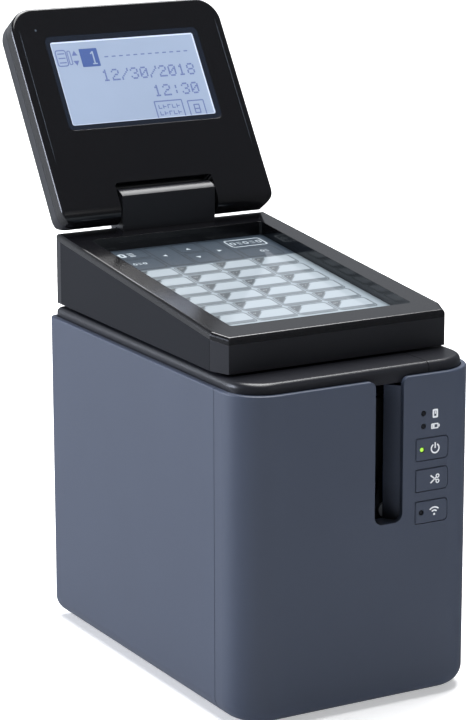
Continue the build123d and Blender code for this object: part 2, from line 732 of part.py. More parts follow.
def feed_motor():
    """Stepper motor hung under the chassis."""
    top = chassis_z
    body = rod_z(feed_motor_r, motor_x, motor_y, top - feed_motor_h, top - 1.0)
    body = fillet(edges_at(body, 2, top - feed_motor_h), 1.0)
    ear = block(motor_x - 4, motor_x + 4, motor_y - 24, motor_y + 24, top - 1.0, top)
    for way in (-24, 24):
        ear += rod_z(4.0, motor_x, motor_y + way, top - 1.0, top)
    body += ear
    body += rod_z(4.6, motor_x, motor_y, top - 1.0, top + 1.0)
    body -= rod_z(shaft_r + bore_gap, motor_x, motor_y, top - 15.0, top + 2)
    return body


# -------------------------------------------------------------------- cutter
def turned_xz(points, angle):
    """Points in X and Z turned about the cutter's pivot, towards -X from the top."""
    c, s = cos(radians(angle)), sin(radians(angle))
    return [(cutter_pivot_x + x * c - z * s, cutter_pivot_z + x * s + z * c) for x, z in points]


def cutter():
    """Frame, fixed blade, swinging blade with its gear sector, pinion and motor."""
    px, pz = cutter_pivot_x, cutter_pivot_z
    back = cutter_y + cutter_frame_t
    frame = block(-12.0, 30.0, cutter_y, back, 46.0, tub_z - 1.0)
    frame += block(-12.0, 8.0, cutter_y, back, 46.0, tape_z1 + 3.0)
    frame += block(-12.0, 10.0, cutter_y, cutter_y + 15.0, chassis_z - 1.2, chassis_z)
    frame -= rod_y(3.4, cutter_pinion_x, cutter_pinion_z, cutter_y - 1, back + 1)
    frame += rod_y(pivot_r, px, pz, moving_y - 0.8, cutter_y + 0.5)
    frame += rod_y(3.2, px, pz, moving_y - 1.6, moving_y - 0.2)
    edge = fixed_edge_x
    fixed = block(3.0, edge, fixed_y, cutter_y, tub_floor + 3.0, tape_z1 + 2.0)
    bevel = [(edge, tub_floor), (edge - 2, tub_floor), (edge, tub_floor + 8)]
    fixed -= prism_y(bevel, fixed_y - 1, cutter_y + 1)
    for z in (tub_floor + 8.0, tape_z1 - 4.0):
        fixed -= rod_y(1.2, 5.5, z, fixed_y - 1, cutter_y + 1)
    arm = [(-5.0, 2.0), (-5.0, 47.5), (-2.5, 49.5), (3.0, 49.5),
           (7.0, 6.0), (6.0, -4.0), (0.0, -8.0), (-5.0, -5.0)]
    blade = prism_y(turned_xz(arm, -cutter_open), moving_y, fixed_y - blade_gap)
    first = radians(cutter_mesh)
    span = range(-3, 1)
    sector = gear_outline(teeth_sector, tooth_share, first + pi / teeth_sector, span)
    inner = 4.0
    a0, a1 = atan2(sector[0][1], sector[0][0]), atan2(sector[-1][1], sector[-1][0])
    outline = [(px + x, pz + z) for x, z in sector]
    outline += [(px + inner * cos(a), pz + inner * sin(a)) for a in (a1 + 0.2, a0 - 0.2)]
    blade += prism_y(outline, moving_y, fixed_y - blade_gap)
    blade -= rod_y(pivot_r + bore_gap, px, pz, moving_y - 1, fixed_y + 1)
    way = radians(cutter_mesh)
    pin_a = meshed(first + pi / teeth_sector, teeth_sector, teeth_cutter, way)
    teeth = gear_outline(teeth_cutter, tooth_share, pin_a)
    points = [(cutter_pinion_x + u, cutter_pinion_z + v) for u, v in teeth]
    pinion = prism_y(points, moving_y - 0.8, fixed_y + 0.2)
    pinion += rod_y(1.5, cutter_pinion_x, cutter_pinion_z, moving_y - 0.8, cutter_y + 8.0)
    motor_end = back + cutter_motor_len
    motor = rod_y(cutter_motor_r, cutter_pinion_x, cutter_pinion_z, back, motor_end)
    motor = fillet(edges_at(motor, 1, motor_end), 1.2)
    motor -= rod_y(1.5 + bore_gap, cutter_pinion_x, cutter_pinion_z, back - 1, back + 9.0)
    return {"cutter_frame": frame, "fixed_blade": fixed, "moving_blade": blade,
            "cutter_pinion": pinion, "cutter_motor": motor}


# --------------------------------------------------------------- electronics
def main_board():
    """Main circuit board on the base's standoffs, with its larger components."""
    z0, z1 = board_z, board_z + board_t
    board = block(-41.0, 41.0, -30.0, rear_y - wall - 2.0, z0, z1)
    for x, y in standoffs():
        board -= rod_z(screw_r + 0.2, x, y, z0 - 1, z1 + 1)
    chips = ((-10.0, 10.0, 22.0, 22.0, 2.0), (18.0, 12.0, 12.0, 16.0, 1.6), (-32.0, 26.0, 14.0, 10.0, 3.0))
    for x, y, w, d, h in chips:
        board += block(x - w / 2, x + w / 2, y - d / 2, y + d / 2, z1 - 0.1, z1 + h)
    capacitors = ((-36.0, 44.0, 5.0, 14.0), (-24.0, 46.0, 4.0, 11.0), (30.0, 36.0, 4.0, 11.0))
    for x, y, r, h in capacitors:
        board += rod_z(r, x, y, z1 - 0.1, z1 + h)
    return board


def sockets():
    """Power inlet, two USB sockets and the network socket, at the rear edge of the board."""
    made = {}
    for name, (x, w, z, h) in socket_places().items():
        y0, y1 = rear_y - wall - 14.0, rear_y - 0.6
        body = block(x - w / 2, x + w / 2, y0, y1, z, z + h)
        if name == "power_inlet":
            body -= rod_y(3.1, x, z + h / 2, y1 - 9.0, y1 + 1)
            body += rod_y(0.8, x, z + h / 2, y1 - 9.5, y1 - 1.0)
        elif name == "usb_socket":
            body -= block(x - 4.4, x + 4.4, y1 - 9.0, y1 + 1, z + 1.4, z + h - 1.4)
            body += block(x - 2.9, x + 2.9, y1 - 9.5, y1 - 1.0, z + h / 2 - 1.6, z + h / 2 + 1.6)
        elif name == "host_socket":
            body -= block(x - 6.6, x + 6.6, y1 - 11.0, y1 + 1, z + 0.8, z + h - 0.8)
            body += block(x - 5.6, x + 5.6, y1 - 11.5, y1 - 0.8, z + h - 3.2, z + h - 1.4)
        else:
            body -= block(x - 6.0, x + 6.0, y1 - 11.5, y1 + 1, z + 2.2, z + h - 4.2)
            body -= block(x - 3.2, x + 3.2, y1 - 11.5, y1 + 1, z + h - 4.3, z + h - 1.6)
        made[name] = body
    made["usb_sockets"] = group([made.pop("usb_socket"), made.pop("host_socket")])
    return made


def button_board():
    """Small board behind the buttons, on two posts of the front cover."""
    z0, z1 = button_z[2] - board_below, lamps[0][1] + board_above
    return block(button_x0 - 2.0, button_x1 + 3.0, board_y, board_y + board_t, z0, z1)


def switches():
    """Tactile switches behind the three buttons."""
    x = (button_x0 + button_x1) / 2
    half = switch_w / 2
    made = []
    for z in button_z:
        body = block(x - half, x + half, board_y - switch_body_h, board_y, z - half, z + half)
        made.append(body + rod_y(plunger_r, x, z, board_y - switch_h, board_y - switch_body_h + 0.1))
    return group(made)


def light_pipes():
    """Four clear light pipes from the board to the front."""
    made = []
    for x, z in lamp_places():
        foot = rod_y(lamp_r + 0.8, x, z, board_y - 3.0, board_y)
        made.append(rod_y(lamp_r, x, z, front_y + 0.1, board_y) + foot)
    return group(made)


def buttons():
    """Power, cut and wireless buttons; each slides in its window onto its switch."""
    x = (button_x0 + button_x1) / 2
    y0 = front_y - button_proud
    stem_end = board_y - switch_h - button_travel - switch_gap
    made = {}
    for name, z in zip(("power_button", "cut_button", "wireless_button"), button_z):
        cap = button_window(z, 0) & block(0, body_w, y0, y0 + button_t, 0, body_h)
        face = [e for e in cap.edges() if abs(e.center().Y - y0) < 0.01]
        cap = chamfer(face, 0.25)
        cap += rod_y(stem_r, x, z, front_y + 1.0, stem_end)
        if name != "cut_button":
            cap -= rod_y(lamp_r + lamp_fit, button_x0 + button_lamp_dx, z, front_y - 2, front_y + 20)
        made[name] = cap
    return made


def release_window(grow):
    """The release button's outline through the right cover."""
    w, h = release_w / 2 + grow, release_h / 2 + grow
    form = block(half_w - wall - 3, half_w + 3, release_y - w, release_y + w, release_z - h, release_z + h)
    return fillet(form.edges().filter_by(Axis.X), 2.0 + grow)


def release_button():
    """Cover release on the right side, with its slider along the tub's flange."""
    x1 = half_w + release_proud
    w, h = slider_w / 2, slider_h / 2
    cap = release_window(0) & block(half_w - 3.0, x1, -body_d, body_d, 0, body_h)
    cap = chamfer([e for e in cap.edges() if abs(e.center().X - x1) < 0.01], 0.3)
    slider = block(-slider_len, 0, release_y - w, release_y + w, release_z - h, release_z + h)
    return cap + Pos(half_w - 2.5, 0, 0) * slider


# ---------------------------------------------------------------- touch unit
def unit_top(y, drop=0.0):
    """Height of the touch unit's top plane, or of a plane parallel to it and lower."""
    return unit_front_top + (y - unit_front_y) * slope - drop * sqrt(1 + slope ** 2)


def under_top(drop, y0, y1):
    """Everything below the plane that lies drop under the touch unit's top."""
    points = [(y0, unit_z0 - 60), (y1, unit_z0 - 60), (y1, unit_top(y1, drop)), (y0, unit_top(y0, drop))]
    return prism_x(points, -body_w, body_w)


def unit_plan(inset, z0, z1):
    """The touch unit's outline from above with its tapered front corners."""
    def side_half(y):
        share = (y - unit_seam_y) / (unit_rear_y - unit_seam_y)
        return unit_half_front + (unit_half_rear - unit_half_front) * share
    k = inset
    right = [(unit_nose_half - k * 0.45, unit_front_y + k),
             (side_half(unit_seam_y) - k, unit_seam_y + k * 0.45),
             (side_half(unit_rear_y) - k, unit_rear_y - k)]
    left = [(-x, y) for x, y in reversed(right)]
    return prism_z(right + left, z0, z1)


def touch_unit():
    """Touch unit: base, side panels, front fascia, bezel, glass and key board."""
    far = body_w + body_d
    outer = unit_plan(0, unit_z0, unit_rear_top + 20) & under_top(0, -far, far)
    top_edges = [e for e in outer.edges() if abs(e.center().Z - unit_top(e.center().Y)) < 0.05]
    outer = fillet(top_edges, unit_edge_r)
    inner = unit_plan(unit_wall, unit_z0 + unit_wall, unit_rear_top + 20) & under_top(bezel_t, -far, far)
    shell = outer - inner
    bezel = shell - under_top(bezel_t, -far, far)
    window = block(-window_half, window_half, window_y0, window_y1, unit_z0, unit_rear_top + 20)
    window = fillet(window.edges().filter_by(Axis.Z), 1.5)
    a, w = window_half + recess_wall, recess_wall
    skirt = block(-a, a, window_y0 - w, window_y1 + w, unit_z0, unit_rear_top)
    bezel += (skirt & under_top(bezel_t, -far, far)) - under_top(recess_t, -far, far)
    bezel -= window
    below = shell & under_top(bezel_t, -far, far)
    g = 0.15
    fascia = below & block(-far, far, -far, unit_seam_y - g / 2, -far, far)
    side_zone = block(-far, far, unit_seam_y + g / 2, unit_side_end_y - g / 2, -far, far)
    middle = block(-unit_half_rear + unit_wall + 0.2, unit_half_rear - unit_wall - 0.2, -far, far, -far, far)
    sides = (below & side_zone) - middle
    base = below - block(-far, far, -far, unit_seam_y + g / 2, -far, far)
    base -= sides
    base -= block(-far, -unit_half_rear + unit_wall, -far, unit_side_end_y, -far, far)
    base -= block(unit_half_rear - unit_wall, far, -far, unit_side_end_y, -far, far)
    for x, y in unit_posts():
        base += rod_z(3.5, x, y, deck_z1, unit_z0 + unit_post_h)
        base -= rod_z(pilot_r, x, y, deck_z1 - 1, unit_z0 + unit_post_h - 2)
    a, b, lap = window_half + glass_lap, window_half + key_board_lap, glass_lap
    keys = recess_t + glass_t
    glass = block(-a, a, window_y0 - lap, window_y1 + lap, unit_z0, unit_rear_top)
    glass = (glass & under_top(recess_t, -far, far)) - under_top(keys, -far, far)
    lap = key_board_lap
    board = block(-b, b, window_y0 - lap, window_y1 + lap, unit_z0, unit_rear_top)
    board = (board & under_top(keys, -far, far)) - under_top(keys + key_board_t, -far, far)
    return {"touch_base": base, "touch_sides": group([sides]), "touch_fascia": fascia,
            "touch_bezel": bezel, "touch_glass": glass, "key_board": board}


def unit_posts():
    """Posts that carry the touch unit on the tape cover."""
    return ((-40.0, -40.0), (20.0, -40.0), (-40.0, 74.0), (26.0, 74.0))


def hinge_block():
    """The display's hinge block: a knuckle about the axis on a short pedestal."""
    x0, x1 = -knuckle_half, knuckle_half
    knuckle = rod_x(knuckle_r, hinge_y, hinge_z, x0, x1)
    front = block(x0 - 1, x1 + 1, hinge_y - 20, knuckle_front_y, hinge_z - 20, hinge_z + 20)
    foot_y1 = hinge_y + knuckle_r - 2.4
    foot_low = unit_rear_top - 8.0
    base = [(knuckle_front_y, unit_top(knuckle_front_y)), (unit_rear_y, unit_top(unit_rear_y)),
            (unit_rear_y, foot_low), (foot_y1 - 2.0, foot_low), (foot_y1, hinge_z - 4.0),
            (foot_y1, hinge_z), (knuckle_front_y, hinge_z)]
    body = (knuckle - front) + prism_x(base, x0, x1)
    body -= under_top(0, knuckle_front_y - 5, unit_rear_y)
    for way in (-1, 1):
        a, b = sorted((way * (knuckle_half - display_pin_len / 2), way * (knuckle_half + 1)))
        body -= rod_x(display_pin_r, hinge_y, hinge_z, a, b)
    return body


def display_pins():
    """Two steel hinge pins, fast in the block and turning in the display's barrels."""
    made = []
    for way in (-1, 1):
        inner, outer = knuckle_half - display_pin_len / 2, knuckle_half + display_pin_len / 2
        a, b = sorted((way * inner, way * outer))
        made.append(rod_x(display_pin_r, hinge_y, hinge_z, a, b))
    return group(made)


# ------------------------------------------------------------------- display
def display_form(inset):
    """The display's body with its axis at the origin and its screen towards -Y."""
    half, top, r = display_half - inset, display_top - inset, display_r - inset
    form = block(-half, half, -r, r, -r, top)
    upper = [e for e in form.edges().filter_by(Axis.Y) if e.center().Z > top - 1]
    form = fillet(upper, display_top_r - inset)
    lower = [e for e in form.edges().filter_by(Axis.Y) if e.center().Z < 0]
    form = fillet(lower, min(display_bottom_r, display_r) - inset - 0.2)
    if not inset:
        faces = [e for e in form.edges() if abs(abs(e.center().Y) - r) < 0.01]
        form = fillet(faces, display_edge_r)
    barrel = rod_x(r, 0, 0, -half - 1, half + 1)
    return form & (block(-half - 1, half + 1, -r - 1, r + 1, 0, top + 1) + barrel)


def place_display(shape):
    """Lean a display piece back and set it on the hinge axis."""
    return Pos(0, hinge_y, hinge_z) * Rot(-display_lean, 0, 0) * shape


def display():
    """Display: front bezel, rear shell, window and LCD module."""
    outer = display_form(0)
    notch = block(-notch_half, notch_half, -display_t, display_t, -display_t, notch_top)
    notch = fillet([e for e in notch.edges().filter_by(Axis.Y) if e.center().Z > 0], 1.5)
    hollow_z0 = display_r + 3.0
    hollow = block(-display_half + display_wall, display_half - display_wall, -display_r + display_wall,
                   display_r - display_wall, hollow_z0, display_top - display_wall)
    hollow = fillet([e for e in hollow.edges().filter_by(Axis.Y) if e.center().Z > hollow_z0 + 1],
                    display_top_r - display_wall)
    hollow -= block(-notch_half - 2, notch_half + 2, -display_t, display_t, 0, notch_top + 2)
    body = outer - notch - hollow
    for way in (-1, 1):
        a, b = sorted((way * (notch_half - 1), way * (knuckle_half + display_pin_len / 2 + 0.5)))
        body -= rod_x(display_pin_r + bore_gap, 0, 0, a, b)
    far = body_w
    s = display_seam / 2
    front = body & block(-far, far, -far, -s, -far, far)
    back = body & block(-far, far, s, far, -far, far)
    seat = block(-lcd_half, lcd_half, -display_r - 1, -display_r + lcd_glass_t, lcd_z0, lcd_z1)
    seat = fillet(seat.edges().filter_by(Axis.Y), 3.0)
    through = block(-lcd_half + 1.5, lcd_half - 1.5, -display_r - 1, 0, lcd_z0 + 1.5, lcd_z1 - 1.5)
    front = front - seat - through
    window = seat & block(-far, far, -display_r, far, -far, far)
    module_y0 = -display_r + display_wall
    module_block = block(-lcd_half - 3, lcd_half + 3, module_y0, module_y0 + 4.5, lcd_z0 - 6, lcd_z1 + 5)
    pieces = {"display_bezel": front, "display_shell": back, "lcd_window": window, "lcd_module": module_block}
    return {name: place_display(piece) for name, piece in pieces.items()}


# --------------------------------------------------------------------- screws
def case_screws():
    """Screws of the chassis, the tub and the main board."""
    made = [screw_z(x, y, chassis_z + chassis_t, 10) for x, y in posts]
    made += [screw_z(x, y, tub_floor - screw_sink, 8) for x, y in tub_posts()]
    made += [screw_z(x, y, board_z + board_t, 6) for x, y in standoffs()]
    return group(made)


def everything():
    """Every node of the printer by name."""
    nodes = covers()
    nodes["right_side_cover"] -= release_window(0.3)
    nodes["rubber_feet"] = feet()
    nodes.update(deck())
    nodes["cover_hinge_pins"] = cover_hinge_pins()
    nodes["chassis_plate"] = chassis()
    nodes["cassette_tub"] = tub()
    nodes["roller_bracket"] = roller_bracket()
    nodes.update(head())
    nodes.update(cassette())
    nodes["label_tape"] = tape()
    nodes.update(spools())
    nodes.update(gear_train())
    nodes["feed_motor"] = feed_motor()
    nodes.update(cutter())
    nodes["main_board"] = main_board()
    nodes.update(sockets())
    nodes["button_board"] = button_board()
    nodes["tact_switches"] = switches()
    nodes["light_pipes"] = light_pipes()
    nodes.update(buttons())
    nodes["release_button"] = release_button()
    nodes.update(touch_unit())
    nodes["hinge_block"] = hinge_block()
    nodes["display_hinge_pins"] = display_pins()
    nodes.update(display())
    nodes["case_screws"] = case_screws()
    return nodes


os.makedirs("parts", exist_ok=True)
for name, shape in everything().items():
    export_step(Pos(0, 0, foot_proud) * shape, f"parts/{name}.step")
    print(name, len(shape.solids()), round(shape.volume / 1000, 2))
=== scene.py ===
"""Looks of the desktop label printer: materials, printed marks, touch keys, display contents, light, camera.

Every length is in metres in the part's own frame, unless a name ends in _mm. The printer's solids come
from the frame and are only dressed here. The touch panel and the display window are built new in the space
of their solids.
"""

import json
import logging
from dataclasses import dataclass, field
from enum import Enum
from math import atan2, cos, radians, sin, tan

import bmesh
import bpy
from mathutils import Matrix, Vector


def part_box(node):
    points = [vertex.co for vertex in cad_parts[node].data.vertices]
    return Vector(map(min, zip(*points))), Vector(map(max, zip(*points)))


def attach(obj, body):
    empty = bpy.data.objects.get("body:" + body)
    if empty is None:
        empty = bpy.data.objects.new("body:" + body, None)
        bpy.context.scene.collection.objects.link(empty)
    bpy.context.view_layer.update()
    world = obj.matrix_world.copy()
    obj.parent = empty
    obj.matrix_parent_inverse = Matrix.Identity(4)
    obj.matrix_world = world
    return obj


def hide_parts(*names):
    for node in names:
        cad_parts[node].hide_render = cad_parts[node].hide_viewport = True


LOG = logging.getLogger("label_maker")
MM = 0.001
Point = tuple[float, float]
Box = tuple[float, float, float, float]
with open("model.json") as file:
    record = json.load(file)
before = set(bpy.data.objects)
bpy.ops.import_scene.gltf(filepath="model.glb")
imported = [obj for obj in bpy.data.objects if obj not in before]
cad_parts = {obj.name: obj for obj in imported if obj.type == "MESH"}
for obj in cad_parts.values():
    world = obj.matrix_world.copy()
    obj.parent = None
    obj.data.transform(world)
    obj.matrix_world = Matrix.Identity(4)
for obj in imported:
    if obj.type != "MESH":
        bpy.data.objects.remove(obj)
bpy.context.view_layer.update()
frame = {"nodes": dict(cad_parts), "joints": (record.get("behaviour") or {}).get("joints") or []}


# ------------------------------------------------------------------ colour and nodes
def linear(colour: str) -> tuple[float, float, float, float]:
    """Turns an sRGB hex colour into linear RGBA.

    Args:
        colour: six hex digits with a leading hash.

    Returns:
        Linear red, green, blue and an alpha of one.
    """
    parts = [int(colour[i:i + 2], 16) / 255 for i in (1, 3, 5)]
    low = [c / 12.92 if c <= 0.04045 else ((c + 0.055) / 1.055) ** 2.4 for c in parts]
    return (*low, 1.0)


def add_node(tree: bpy.types.NodeTree, kind: str, links: dict | None = None, **settings) -> bpy.types.Node:
    """Adds one shader node with its values and links.

    Args:
        tree: the node tree that gets it.
        kind: the node's type without the ShaderNode prefix.
        links: input name or index to the output socket that feeds it.
        settings: node properties, or input values with underscores for spaces.

    Returns:
        The new node.
    """
    node = tree.nodes.new("ShaderNode" + kind)
    for name, value in settings.items():
        if hasattr(node, name):
            setattr(node, name, value)
        else:
            node.inputs[name.replace("_", " ")].default_value = value
    for name, source in (links or {}).items():
        tree.links.new(source, node.inputs[name])
    return node


def grain_scale(size_mm: float) -> float:
    """Noise scale per metre that gives features of a real size in millimetres."""
    return 1000.0 / size_mm


class Sheen(Enum):
    """How a moulded surface was finished in its tool."""

    SPARKED = "sparked"
    SATIN = "satin"
    POLISHED = "polished"


@dataclass(frozen=True)
class Moulding:
    """An injection-moulded plastic."""

    name: str
    colour: str
    sheen: Sheen
    roughness: float
    grain_mm: float = 0.35
    grain_depth_mm: float = 0.012
    tint: float = 0.06
    ior: float = 1.53
    coat: float = 0.0
    edge_mm: float = 0.25
    painted_recess_shade_mm: float = 0.0
    specular: float = 0.5

    def build(self) -> bpy.types.Material:
        """Builds the material: colour drift, painted shade that darkens recesses, grain and softened edges.

        Returns:
            The finished material.
        """
        material, tree, shader = new_material(self.name)
        place = add_node(tree, "TexCoord").outputs["Object"]
        drift = add_node(tree, "TexNoise", {"Vector": place}, Scale=grain_scale(45.0), Detail=3.0)
        base = Vector(linear(self.colour)[:3])
        mix = add_node(tree, "ValToRGB", {"Fac": drift.outputs["Fac"]})
        mix.color_ramp.elements[0].color = (*(base * (1 - self.tint)), 1)
        mix.color_ramp.elements[1].color = (*(base * (1 + self.tint)), 1)
        colour = mix.outputs["Color"]
        # Painted shade: ambient occlusion darkens the base colour in recesses.
        if self.painted_recess_shade_mm:
            recess_occlusion = add_node(tree, "AmbientOcclusion", samples=8, only_local=True,
                                Distance=self.painted_recess_shade_mm * MM)
            share = add_node(tree, "MapRange", {"Value": recess_occlusion.outputs["AO"]}, From_Min=0.45,
                             From_Max=0.94, To_Min=0.04, To_Max=1.0)
            colour = add_node(tree, "VectorMath", {0: colour, "Scale": share.outputs["Result"]},
                              operation="SCALE").outputs["Vector"]
        tree.links.new(colour, shader.inputs["Base Color"])
        grain = add_node(tree, "TexNoise", {"Vector": place}, Scale=grain_scale(self.grain_mm), Detail=2.0)
        rough = add_node(tree, "MapRange", {"Value": grain.outputs["Fac"]},
                         To_Min=self.roughness * 0.88, To_Max=self.roughness * 1.12)
        tree.links.new(rough.outputs["Result"], shader.inputs["Roughness"])
        edge = add_node(tree, "Bevel", samples=4, Radius=self.edge_mm * MM)
        bump = add_node(tree, "Bump", {"Height": grain.outputs["Fac"], "Normal": edge.outputs["Normal"]},
                        Strength=0.5 if self.sheen is Sheen.SPARKED else 0.25,
                        Distance=self.grain_depth_mm * MM)
        tree.links.new(bump.outputs["Normal"], shader.inputs["Normal"])
        shader.inputs["IOR"].default_value = self.ior
        shader.inputs["Specular IOR Level"].default_value = self.specular
        shader.inputs["Coat Weight"].default_value = self.coat
        shader.inputs["Coat Roughness"].default_value = 0.06
        return material


@dataclass(frozen=True)
class Metal:
    """A sheet or turned metal part with fine lines from its making."""

    name: str
    colour: str
    roughness: float
    line_mm: float = 0.15
    line_depth_mm: float = 0.004

    def build(self) -> bpy.types.Material:
        """Builds the material: brushed lines in roughness and bump over bare metal.

        Returns:
            The finished material.
        """
        material, tree, shader = new_material(self.name)
        place = add_node(tree, "TexCoord").outputs["Object"]
        stretch = add_node(tree, "Mapping", {"Vector": place}, Scale=(1.0, 1.0, 0.08))
        lines = add_node(tree, "TexNoise", {"Vector": stretch.outputs["Vector"]},
                         Scale=grain_scale(self.line_mm), Detail=3.0)
        rough = add_node(tree, "MapRange", {"Value": lines.outputs["Fac"]},
                         To_Min=self.roughness * 0.8, To_Max=self.roughness * 1.25)
        tree.links.new(rough.outputs["Result"], shader.inputs["Roughness"])
        tone = add_node(tree, "ValToRGB", {"Fac": lines.outputs["Fac"]})
        base = Vector(linear(self.colour)[:3])
        tone.color_ramp.elements[0].color = (*(base * 0.85), 1)
        tone.color_ramp.elements[1].color = (*base, 1)
        tree.links.new(tone.outputs["Color"], shader.inputs["Base Color"])
        bump = add_node(tree, "Bump", {"Height": lines.outputs["Fac"]}, Strength=0.3,
                        Distance=self.line_depth_mm * MM)
        tree.links.new(bump.outputs["Normal"], shader.inputs["Normal"])
        shader.inputs["Metallic"].default_value = 1.0
        return material


@dataclass(frozen=True)
class Print:
    """Screen print, lit LCD or printed film under a clear coat."""

    name: str
    colour: str
    roughness: float = 0.4
    coat: float = 0.0
    coat_roughness: float = 0.04
    glow: float = 0.0
    grain_mm: float = 0.6
    tint: float = 0.05

    def build(self) -> bpy.types.Material:
        """Builds the material: a slightly uneven ink film, with a coat and a glow where it has them.

        Returns:
            The finished material.
        """
        material, tree, shader = new_material(self.name)
        place = add_node(tree, "TexCoord").outputs["Object"]
        ink = add_node(tree, "TexNoise", {"Vector": place}, Scale=grain_scale(self.grain_mm), Detail=2.0)
        tone = add_node(tree, "ValToRGB", {"Fac": ink.outputs["Fac"]})
        base = Vector(linear(self.colour)[:3])
        tone.color_ramp.elements[0].color = (*(base * (1 - self.tint)), 1)
        tone.color_ramp.elements[1].color = (*(base * (1 + self.tint)), 1)
        tree.links.new(tone.outputs["Color"], shader.inputs["Base Color"])
        rough = add_node(tree, "MapRange", {"Value": ink.outputs["Fac"]},
                         To_Min=self.roughness * 0.9, To_Max=self.roughness * 1.1)
        tree.links.new(rough.outputs["Result"], shader.inputs["Roughness"])
        shader.inputs["Coat Weight"].default_value = self.coat
        shader.inputs["Coat Roughness"].default_value = self.coat_roughness
        if self.glow:
            tree.links.new(tone.outputs["Color"], shader.inputs["Emission Color"])
            shader.inputs["Emission Strength"].default_value = self.glow
        return material


def new_material(name: str) -> tuple[bpy.types.Material, bpy.types.NodeTree, bpy.types.Node]:
    """Makes a node material.

    Args:
        name: the material's name.

    Returns:
        The material, its node tree and its Principled shader.
    """
    material = bpy.data.materials.new(name)
    material.use_nodes = True
    tree = material.node_tree
    return material, tree, tree.nodes["Principled BSDF"]


# ------------------------------------------------------------------ finishes of this printer
# ABS, spark-eroded tool: a dark slate grey that scatters light softly, never a mirror; painted shade darkens
# its colour in recesses such as the tape slot.
CASE_ABS = Moulding("slate_abs_sparked", "#3a4253", Sheen.SPARKED, 0.42, painted_recess_shade_mm=16.0, specular=0.4)
# The same ABS in the touch unit's side inlays, much darker and duller.
INLAY_ABS = Moulding("dark_slate_abs_sparked", "#111319", Sheen.SPARKED, 0.5, specular=0.11)
# ABS from a polished tool: near black, with sharp reflections on a gently wavy face.
GLOSS_ABS = Moulding("black_abs_polished", "#0f0f12", Sheen.POLISHED, 0.14, grain_mm=6.0,
                     grain_depth_mm=0.004)
# The bezel's two ribs, polished: a pale colour is painted on them to stand for the thin line of light along
# each.
RIB_PAINTED_HIGHLIGHT_ABS = Moulding("abs_rib_painted_highlight", "#4c525c", Sheen.POLISHED, 0.12, coat=1.0)
# ABS from a fine satin tool: near black, broad soft highlights.
SATIN_ABS = Moulding("black_abs_satin", "#1f2025", Sheen.SATIN, 0.3, grain_mm=0.25, grain_depth_mm=0.006,
                     specular=0.34)
# Polypropylene inner mouldings: flat and dark.
TUB_PP = Moulding("black_pp_matt", "#222226", Sheen.SPARKED, 0.6)
# Polystyrene of the tape cassette: mid grey with a soft sheen.
CASSETTE_PS = Moulding("grey_polystyrene", "#6e7178", Sheen.SATIN, 0.42)
# Acetal gears and spools: milky and waxy.
ACETAL = Moulding("natural_acetal", "#d9d8cf", Sheen.SATIN, 0.38, tint=0.02)
# Nitrile rubber: black and dull.
RUBBER = Moulding("black_rubber", "#1b1b1b", Sheen.SPARKED, 0.8, grain_mm=0.5)
# Laminated polyester label tape on its roll.
TAPE_FILM = Moulding("white_polyester_tape", "#e8e8e4", Sheen.SATIN, 0.3, tint=0.01)
# Solder mask over fibreglass.
BOARD = Moulding("green_solder_mask", "#1d5b38", Sheen.SATIN, 0.35, grain_mm=1.2)
# Glazed alumina of the print head.
CERAMIC = Moulding("brown_glazed_alumina", "#7d5a35", Sheen.POLISHED, 0.2)
# Acrylic light pipes, dark because nothing lights them.
PIPE_OFF = Moulding("dark_acrylic", "#15171c", Sheen.POLISHED, 0.12)
# Folded zinc-plated sheet: bluish grey and half matt.
ZINC_STEEL = Metal("zinc_plated_steel", "#b9bcc0", 0.35)
# Ground shafts, pins and screws: bright, with the fine lines of every metal here.
GROUND_STEEL = Metal("ground_steel", "#c9cbcf", 0.22)
# Blades with a dark anti-stick coat: they show only a dull line inside the slot.
COATED_STEEL = Metal("dark_coated_blade_steel", "#34363a", 0.4)
# Cast head holder: pale grey and soft.
CAST_ALUMINIUM = Metal("cast_aluminium", "#c4c6ca", 0.4)
# Nickel-plated socket shells: a warm, clear shine.
NICKEL = Metal("nickel_plated_steel", "#c8c6bd", 0.2)
# White pad print of the signs: flat and slightly grey.
WHITE_INK = Print("white_pad_print", "#d5d8dc", 0.5)
# The power lamp: a lit core and a dimmer rim in the acrylic.
LAMP_GREEN = Print("green_lamp", "#8fc23c", 0.3, glow=1.0)
LAMP_HALO = Print("green_lamp_halo", "#3f6d12", 0.3, glow=0.25)
# Printed polyester film of the touch keys under clear acrylic: soft inks behind one glassy coat. The grey
# strip below each key face is painted shade, as if under a key's front bevel.
KEY_GROUND = Print("key_film_pale", "#929ea6", 0.35, coat=1.0)
KEY_FACE = Print("key_film_white", "#9faab2", 0.35, coat=1.0)
KEY_PAINTED_SHADE = Print("key_film_painted_bevel_shade", "#646e75", 0.35, coat=1.0)
KEY_CORNER = Print("key_film_dark_grey", "#434b51", 0.35, coat=1.0, tint=0.35)
KEY_LINE = Print("key_film_line", "#2c343b", 0.35, coat=1.0)
KEY_MARK = Print("key_film_sign", "#c0c8cc", 0.35, coat=1.0)
HEADER_SLATE = Print("key_film_slate", "#3b4753", 0.35, coat=1.0)
HEADER_LINE = Print("key_film_black", "#151a20", 0.35, coat=1.0)
HEADER_MARK = Print("key_film_mark", "#c3ced6", 0.35, coat=1.0)
# Backlit LCD: an even blue-white field that its dots only dim.
LCD_GROUND = Print("lcd_lit_field", "#7d8a9f", 0.3, coat=0.6, glow=0.8, tint=0.04, grain_mm=24.0)
LCD_EDGE = Print("lcd_bright_edge", "#b0b9cc", 0.3, coat=0.6, glow=0.8)
LCD_DOT = Print("lcd_pixel", "#566390", 0.3, coat=0.6, glow=0.5)
LCD_SOLID = Print("lcd_inverted_field", "#3d5184", 0.3, coat=0.6, glow=0.5)
LCD_BORDER = Print("lcd_dark_border", "#121a28", 0.2, coat=1.0)

